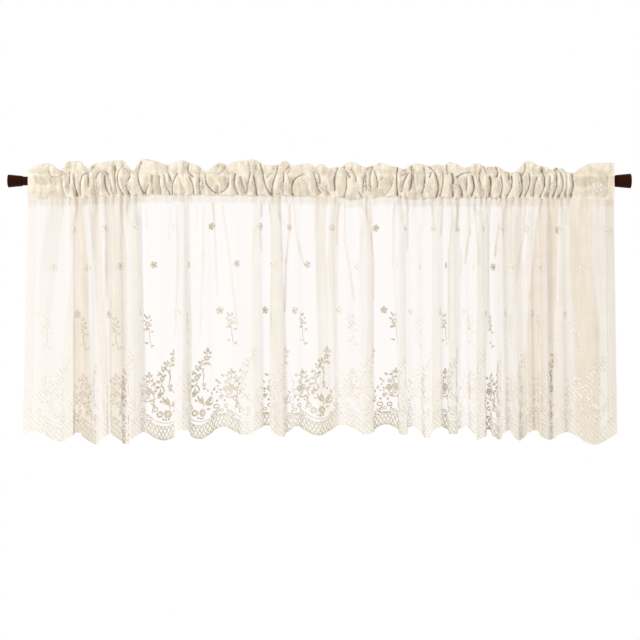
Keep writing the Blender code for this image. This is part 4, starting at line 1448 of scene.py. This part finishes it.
@dataclass
class LaceBorder:
    """The woven border: scalloped edge, trellis, arcs, and the flower and leaf figures over it."""

    drape: Drape
    finish: ThreadFinish
    repeats: int = 19
    steps: int = 14

    # Edge, trellis and nest arcs, with half widths for their lines and threads
    edge_height: float = 3.0
    edge_margin: float = 2.6
    picot: float = 0.35
    picot_pitch: float = 4.4
    fine_step: float = 1.6
    trellis_top: float = 21.5
    trellis_pitch: float = 6.5
    trellis_rows: int = 3
    trellis_thread: float = 0.95
    trellis_tuck: float = 0.4
    trellis_reach: float = 24.0
    trellis_margin: float = 0.6
    top_line: float = 0.7
    nest_low: float = 27.6
    nest_rise: float = 13.4
    nest_half: float = 29.5
    nest_shift: float = 3.0
    nest_steps: int = 42
    nest_line: float = 0.65

    # Leaves, petals, stems and dots
    leaf_steps: int = 7
    leaf_tip: float = 0.04
    # Painted highlight along the middle of leaves and petals.
    leaf_highlight: float = 0.34
    petal_start: float = 0.22
    petal_width: float = 0.75
    petal_crowding: float = 1.25
    petal_lighter: float = 0.06
    stem_tip: float = 0.55
    dot_steps: int = 5
    dot_reach: float = 0.98
    sprig_middle: float = 0.34

    def lows(self) -> Array:
        """Flat places of the scallops' low points, one past each side of the cloth."""
        return self.drape.first_scallop + self.drape.scallop_pitch * (np.arange(self.repeats) - 1)

    def repeated(self, rows: Chart) -> Chart:
        """A chart's rows at every repeat, where each u becomes a flat place.

        Args:
            rows: the chart for one scallop.

        Returns:
            The chart for all of them.
        """
        lows = self.lows()
        tiled = {name: np.tile(values, len(lows)) for name, values in rows.items()}
        for name in rows.keys() & {"u", "end_u"}:
            tiled[name] += np.repeat(lows, len(rows[name]))
        return tiled

    def add_leaves(
        self, ribbons: Ribbons, rows: Chart, lighter: float = 0.0, fullest: float = 0.8, blunt: float = 1.0
    ) -> None:
        """Leaves: a bent middle line, and a width of sin(pi s to the fullest) to the blunt.

        Args:
            ribbons: where they are added.
            rows: the leaves' chart.
            lighter: how much lighter than its surroundings their thread looks.
            fullest: moves the widest place, below 1 towards the foot and above 1 towards the tip.
            blunt: below 1 makes the ends rounder.
        """
        s = np.linspace(0.0, 1.0, self.leaf_steps)
        u, v, length, width, angle, bend = upright(rows)
        along, over = s * length, bend * 4 * s * (1 - s)
        ahead, up = np.cos(np.radians(angle)), np.sin(np.radians(angle))
        half_width = width / 2 * np.maximum(np.sin(math.pi * s**fullest), self.leaf_tip) ** blunt
        x = u + along * ahead - over * up
        y = v + along * up + over * ahead
        ribbons.add(x, y, half_width, lighter, self.leaf_highlight)

    def add_flowers(self, ribbons: Ribbons, rows: Chart) -> None:
        """Flowers: each petal is a broad leaf from near the middle out to the radius.

        Args:
            ribbons: where they are added.
            rows: the flowers' chart.
        """
        petals = []
        for u, v, radius, count, turn in zip(*rows.values()):
            start = self.petal_start * radius
            width = radius * min(self.petal_width, self.petal_crowding * math.pi / count)
            for angle in turn + 360.0 * np.arange(int(count)) / count:
                place = u + start * math.cos(math.radians(angle)), v + start * math.sin(math.radians(angle))
                petals.append((*place, radius - start, width, angle, 0.0))
        leaves = chart(" ".join(LEAVES), *petals)
        self.add_leaves(ribbons, leaves, self.petal_lighter, fullest=1.5, blunt=0.6)

    def add_stems(self, ribbons: Ribbons, rows: Chart) -> None:
        """Stems: a chord pushed sideways by 4 bend s (1 - s), thinning to both ends.

        Args:
            ribbons: where they are added.
            rows: the stems' chart.
        """
        s = np.linspace(0.0, 1.0, self.steps)
        u, v, end_u, end_v, bend, width = upright(rows)
        run, rise = end_u - u, end_v - v
        over = bend * 4 * s * (1 - s) / np.hypot(run, rise)
        half_width = width / 2 * (self.stem_tip + (1.0 - self.stem_tip) * np.sin(math.pi * s))
        ribbons.add(u + run * s - rise * over, v + rise * s + run * over, half_width)

    def add_rings(self, ribbons: Ribbons, rows: Chart) -> None:
        """Rings: closed ovals, width / 2 cos(turn) across and height / 2 sin(turn) up.

        Args:
            ribbons: where they are added.
            rows: the rings' chart.
        """
        turn = np.linspace(0.0, 2 * math.pi, self.steps)
        u, v, width, height, line = upright(rows)
        ribbons.add(u + width / 2 * np.cos(turn), v + height / 2 * np.sin(turn), line / 2)

    def add_dots(self, ribbons: Ribbons, rows: Chart, size: float = 1.0) -> None:
        """Dots: short ribbons whose half width follows a circle, radius times root of 1 - s squared.

        Args:
            ribbons: where they are added.
            rows: chart with u, v and radius first.
            size: share of the radius that the dots have.
        """
        s = np.linspace(-self.dot_reach, self.dot_reach, self.dot_steps)
        u, v, radius = upright(rows)[:3]
        ribbons.add(u + radius * size * s, v, radius * size * np.sqrt(1 - s**2))

    def add_edge(self, ribbons: Ribbons) -> None:
        """Dense edge band, with picots as a rectified sine, and the line over the trellis.

        Args:
            ribbons: where they are added.
        """
        flat = np.arange(self.edge_margin, self.drape.width - self.edge_margin, self.fine_step)[None, :]
        base = self.drape.edge(flat)
        bumps = self.picot * np.abs(np.sin(math.pi * flat / self.picot_pitch))
        ribbons.add(flat, base + (self.edge_height - bumps) / 2, (self.edge_height + bumps) / 2)
        ribbons.add(flat, base + self.trellis_top, self.top_line)

    def add_trellis(self, ribbons: Ribbons) -> None:
        """Trellis threads: two families of slanted lines over the scallops, one cell apart.

        Args:
            ribbons: where they are added.
        """
        low = self.edge_height - self.trellis_tuck
        up = np.linspace(low, self.trellis_top + self.trellis_tuck, self.steps)
        cell_height = (self.trellis_top - self.edge_height) / self.trellis_rows
        slope = self.trellis_pitch / 2 / cell_height
        reach = self.trellis_reach
        starts = np.arange(-reach, self.drape.width + reach, self.trellis_pitch)[:, None]
        for side in (-1.0, 1.0):
            flat = starts + side * slope * (up - low)
            inside = (flat > self.trellis_margin) & (flat < self.drape.width - self.trellis_margin)
            flat = flat[inside.all(axis=1)]
            ribbons.add(flat, self.drape.edge(flat) + up, self.trellis_thread)

    def add_nests(self, ribbons: Ribbons) -> None:
        """Nest arcs: v = low + rise (u / half) squared, under each cluster of flowers.

        Args:
            ribbons: where they are added.
        """
        u = np.linspace(-self.nest_half, self.nest_half, self.nest_steps)
        v = self.nest_low + self.nest_rise * (u / self.nest_half) ** 2
        ribbons.add(self.lows()[:, None] + u + self.nest_shift, v, self.nest_line)

    def build(self) -> list[Piece]:
        """Makes the border, its figures and the scattered sprigs.

        Returns:
            The three pieces.
        """
        material = self.finish.material()
        border = Ribbons(self.drape, tone_low=0.42)
        self.add_edge(border)
        self.add_trellis(border)
        self.add_nests(border)
        figures = Ribbons(self.drape, tone_low=0.16)
        self.add_leaves(figures, self.repeated(LEAVES))
        self.add_flowers(figures, self.repeated(FLOWERS))
        self.add_stems(figures, self.repeated(STEMS))
        self.add_rings(figures, self.repeated(RINGS))
        self.add_dots(figures, self.repeated(DOTS))
        sprigs = Ribbons(self.drape, lift=0.8, tone_low=0.12, tone_high=0.9)
        scattered = self.repeated(SPRIGS)
        self.add_flowers(sprigs, scattered)
        self.add_dots(sprigs, scattered, self.sprig_middle)
        pieces = {"lace_border": border, "lace_figures": figures, "lace_sprigs": sprigs}
        return [ribbons.build(name, material) for name, ribbons in pieces.items()]


@dataclass
class Stitching:
    """Lockstitch lines: under and over the rod pocket, and down both side hems."""

    drape: Drape
    finish: ThreadFinish
    stitch: float = 2.2
    gap: float = 0.9
    thread: float = 0.3
    points: int = 5
    lines: tuple[float, ...] = (396.5, 438.0)
    left_start: float = 2.0
    right_end: float = 4.0
    hem: float = 13.6
    hem_start: float = 26.0
    hem_end: float = 4.0

    def build(self) -> Piece:
        """Each stitch is a short ribbon along its line.

        Returns:
            The stitches as one piece.
        """
        ribbons = Ribbons(self.drape, lift=0.25, crown=0.2)
        pitch = self.stitch + self.gap
        s = np.linspace(0.0, self.stitch, self.points)
        flat = np.arange(self.left_start, self.drape.width - self.right_end, pitch)[:, None] + s
        for drop in self.lines:
            ribbons.add(flat, drop, self.thread)
        drop = np.arange(self.hem_start, self.drape.skirt_drop - self.hem_end, pitch)[:, None] + s
        for place in (self.hem, self.drape.width - self.hem):
            ribbons.add(place, drop, self.thread)
        return ribbons.build("seam_stitches", self.finish.material())


@dataclass
class RodAndCaps:
    """The telescoping rod: its two tubes and two caps keep their solids and get their finish."""

    tube: EnamelFinish = EnamelFinish("rod_enamel")
    cap: EnamelFinish = EnamelFinish("cap_enamel", base=linear(37, 9, 1), worn=linear(53, 18, 4))

    def dress(self) -> None:
        """Puts the finishes on the nodes."""
        looks = {
            self.tube: ("rod_inner_tube", "rod_outer_tube"),
            self.cap: ("end_cap_left", "end_cap_right"),
        }
        for finish, names in looks.items():
            material = finish.material()
            for name in names:
                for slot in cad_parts[name].material_slots:
                    slot.material = material
                LOG.info("%s: %s", name, material.name)


@dataclass
class Studio:
    """Pale floor, soft light and a level camera in front. Sizes are in metres."""

    width: float = 1.0336
    centre: tuple[float, float] = (0.5039, -0.2245)
    distance: float = 3.0
    sensor: float = 36.0
    floor_drop: float = 1.35
    floor_across: tuple[float, float] = (-3.0, 4.0)
    floor_deep: tuple[float, float] = (-3.0, 3.0)
    floor_colour: Colour = (0.85, 0.85, 0.85, 1.0)
    floor_roughness: float = 0.8
    fill: float = 0.9
    fill_colour: tuple[float, float, float] = (1.0, 0.965, 0.9)
    key_power: float = 62.0
    key_colour: tuple[float, float, float] = (0.985, 0.995, 1.0)
    key_size: float = 1.5
    key_place: tuple[float, float, float] = (-2.6, -3.2, 0.25)

    def build(self) -> None:
        """Makes the floor, the world, the key light and the camera."""
        scene = bpy.context.scene
        scene.view_settings.view_transform = "Standard"
        self.floor()
        scene.world = self.world()
        light = bpy.data.lights.new("key", "AREA")
        light.shape = "DISK"
        light.size = self.key_size
        light.energy = self.key_power
        light.color = self.key_colour
        key = add_object("key", light)
        key.location = self.key_place
        x, y, z = np.array([self.centre[0], 0.0, self.centre[1]]) - np.array(self.key_place)
        key.rotation_euler = (math.atan2(math.hypot(x, y), -z), 0.0, math.atan2(-x, y))
        lens = bpy.data.cameras.new("camera")
        lens.sensor_width = self.sensor
        lens.lens = self.sensor * self.distance / self.width
        camera = add_object("camera", lens)
        camera.location = (self.centre[0], -self.distance, self.centre[1])
        camera.rotation_euler = (math.pi / 2, 0.0, 0.0)
        scene.camera = camera

    def floor(self) -> None:
        """Plain pale floor well under the valance."""
        (left, right), (near, far) = self.floor_across, self.floor_deep
        z = self.centre[1] - self.floor_drop
        mesh = bpy.data.meshes.new("floor")
        corners = [(left, near, z), (right, near, z), (right, far, z), (left, far, z)]
        mesh.from_pydata(corners, [], [(0, 1, 2, 3)])
        t = NodeTree(bpy.data.materials.new("pale_floor"))
        values = {"Base Color": self.floor_colour, "Roughness": self.floor_roughness}
        t.add("OutputMaterial", {"Surface": t.add("BsdfPrincipled", values).outputs["BSDF"]})
        mesh.materials.append(t.owner)
        add_object("floor", mesh)

    def world(self) -> bpy.types.World:
        """White all round, dimmer as a light than as a backdrop.

        Returns:
            The world.
        """
        t = NodeTree(bpy.data.worlds.new("studio"))
        light, backdrop = (
            t.add("Background", {"Color": (*colour, 1.0), "Strength": strength}).outputs[0]
            for colour, strength in ((self.fill_colour, self.fill), ((1.0, 1.0, 1.0), 1.0))
        )
        seen = t.add("LightPath").outputs["Is Camera Ray"]
        mix = t.add("MixShader", {"Fac": seen, 1: light, 2: backdrop})
        t.add("OutputWorld", {"Surface": mix.outputs[0]})
        return t.owner


def main() -> None:
    logging.basicConfig(level=logging.INFO, format="%(name)s: %(message)s")
    drape = Drape()
    # A lighter copy of the net for the heading: painted light that brightens its shaded cloth.
    heading_net = NetFinish("heading_net_lightened", light=linear(251, 244, 231), deep=linear(239, 228, 207))
    skirt, heading, hems = GroundCloth(drape, NetFinish("sheer_net"), heading_net).build()
    lace = LaceBorder(drape, ThreadFinish("pattern_thread")).build()
    stitches = Stitching(drape, ThreadFinish("seam_thread")).build()
    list(lace)
    RodAndCaps().dress()
    Studio().build()


if __name__ == "__main__":
    main()
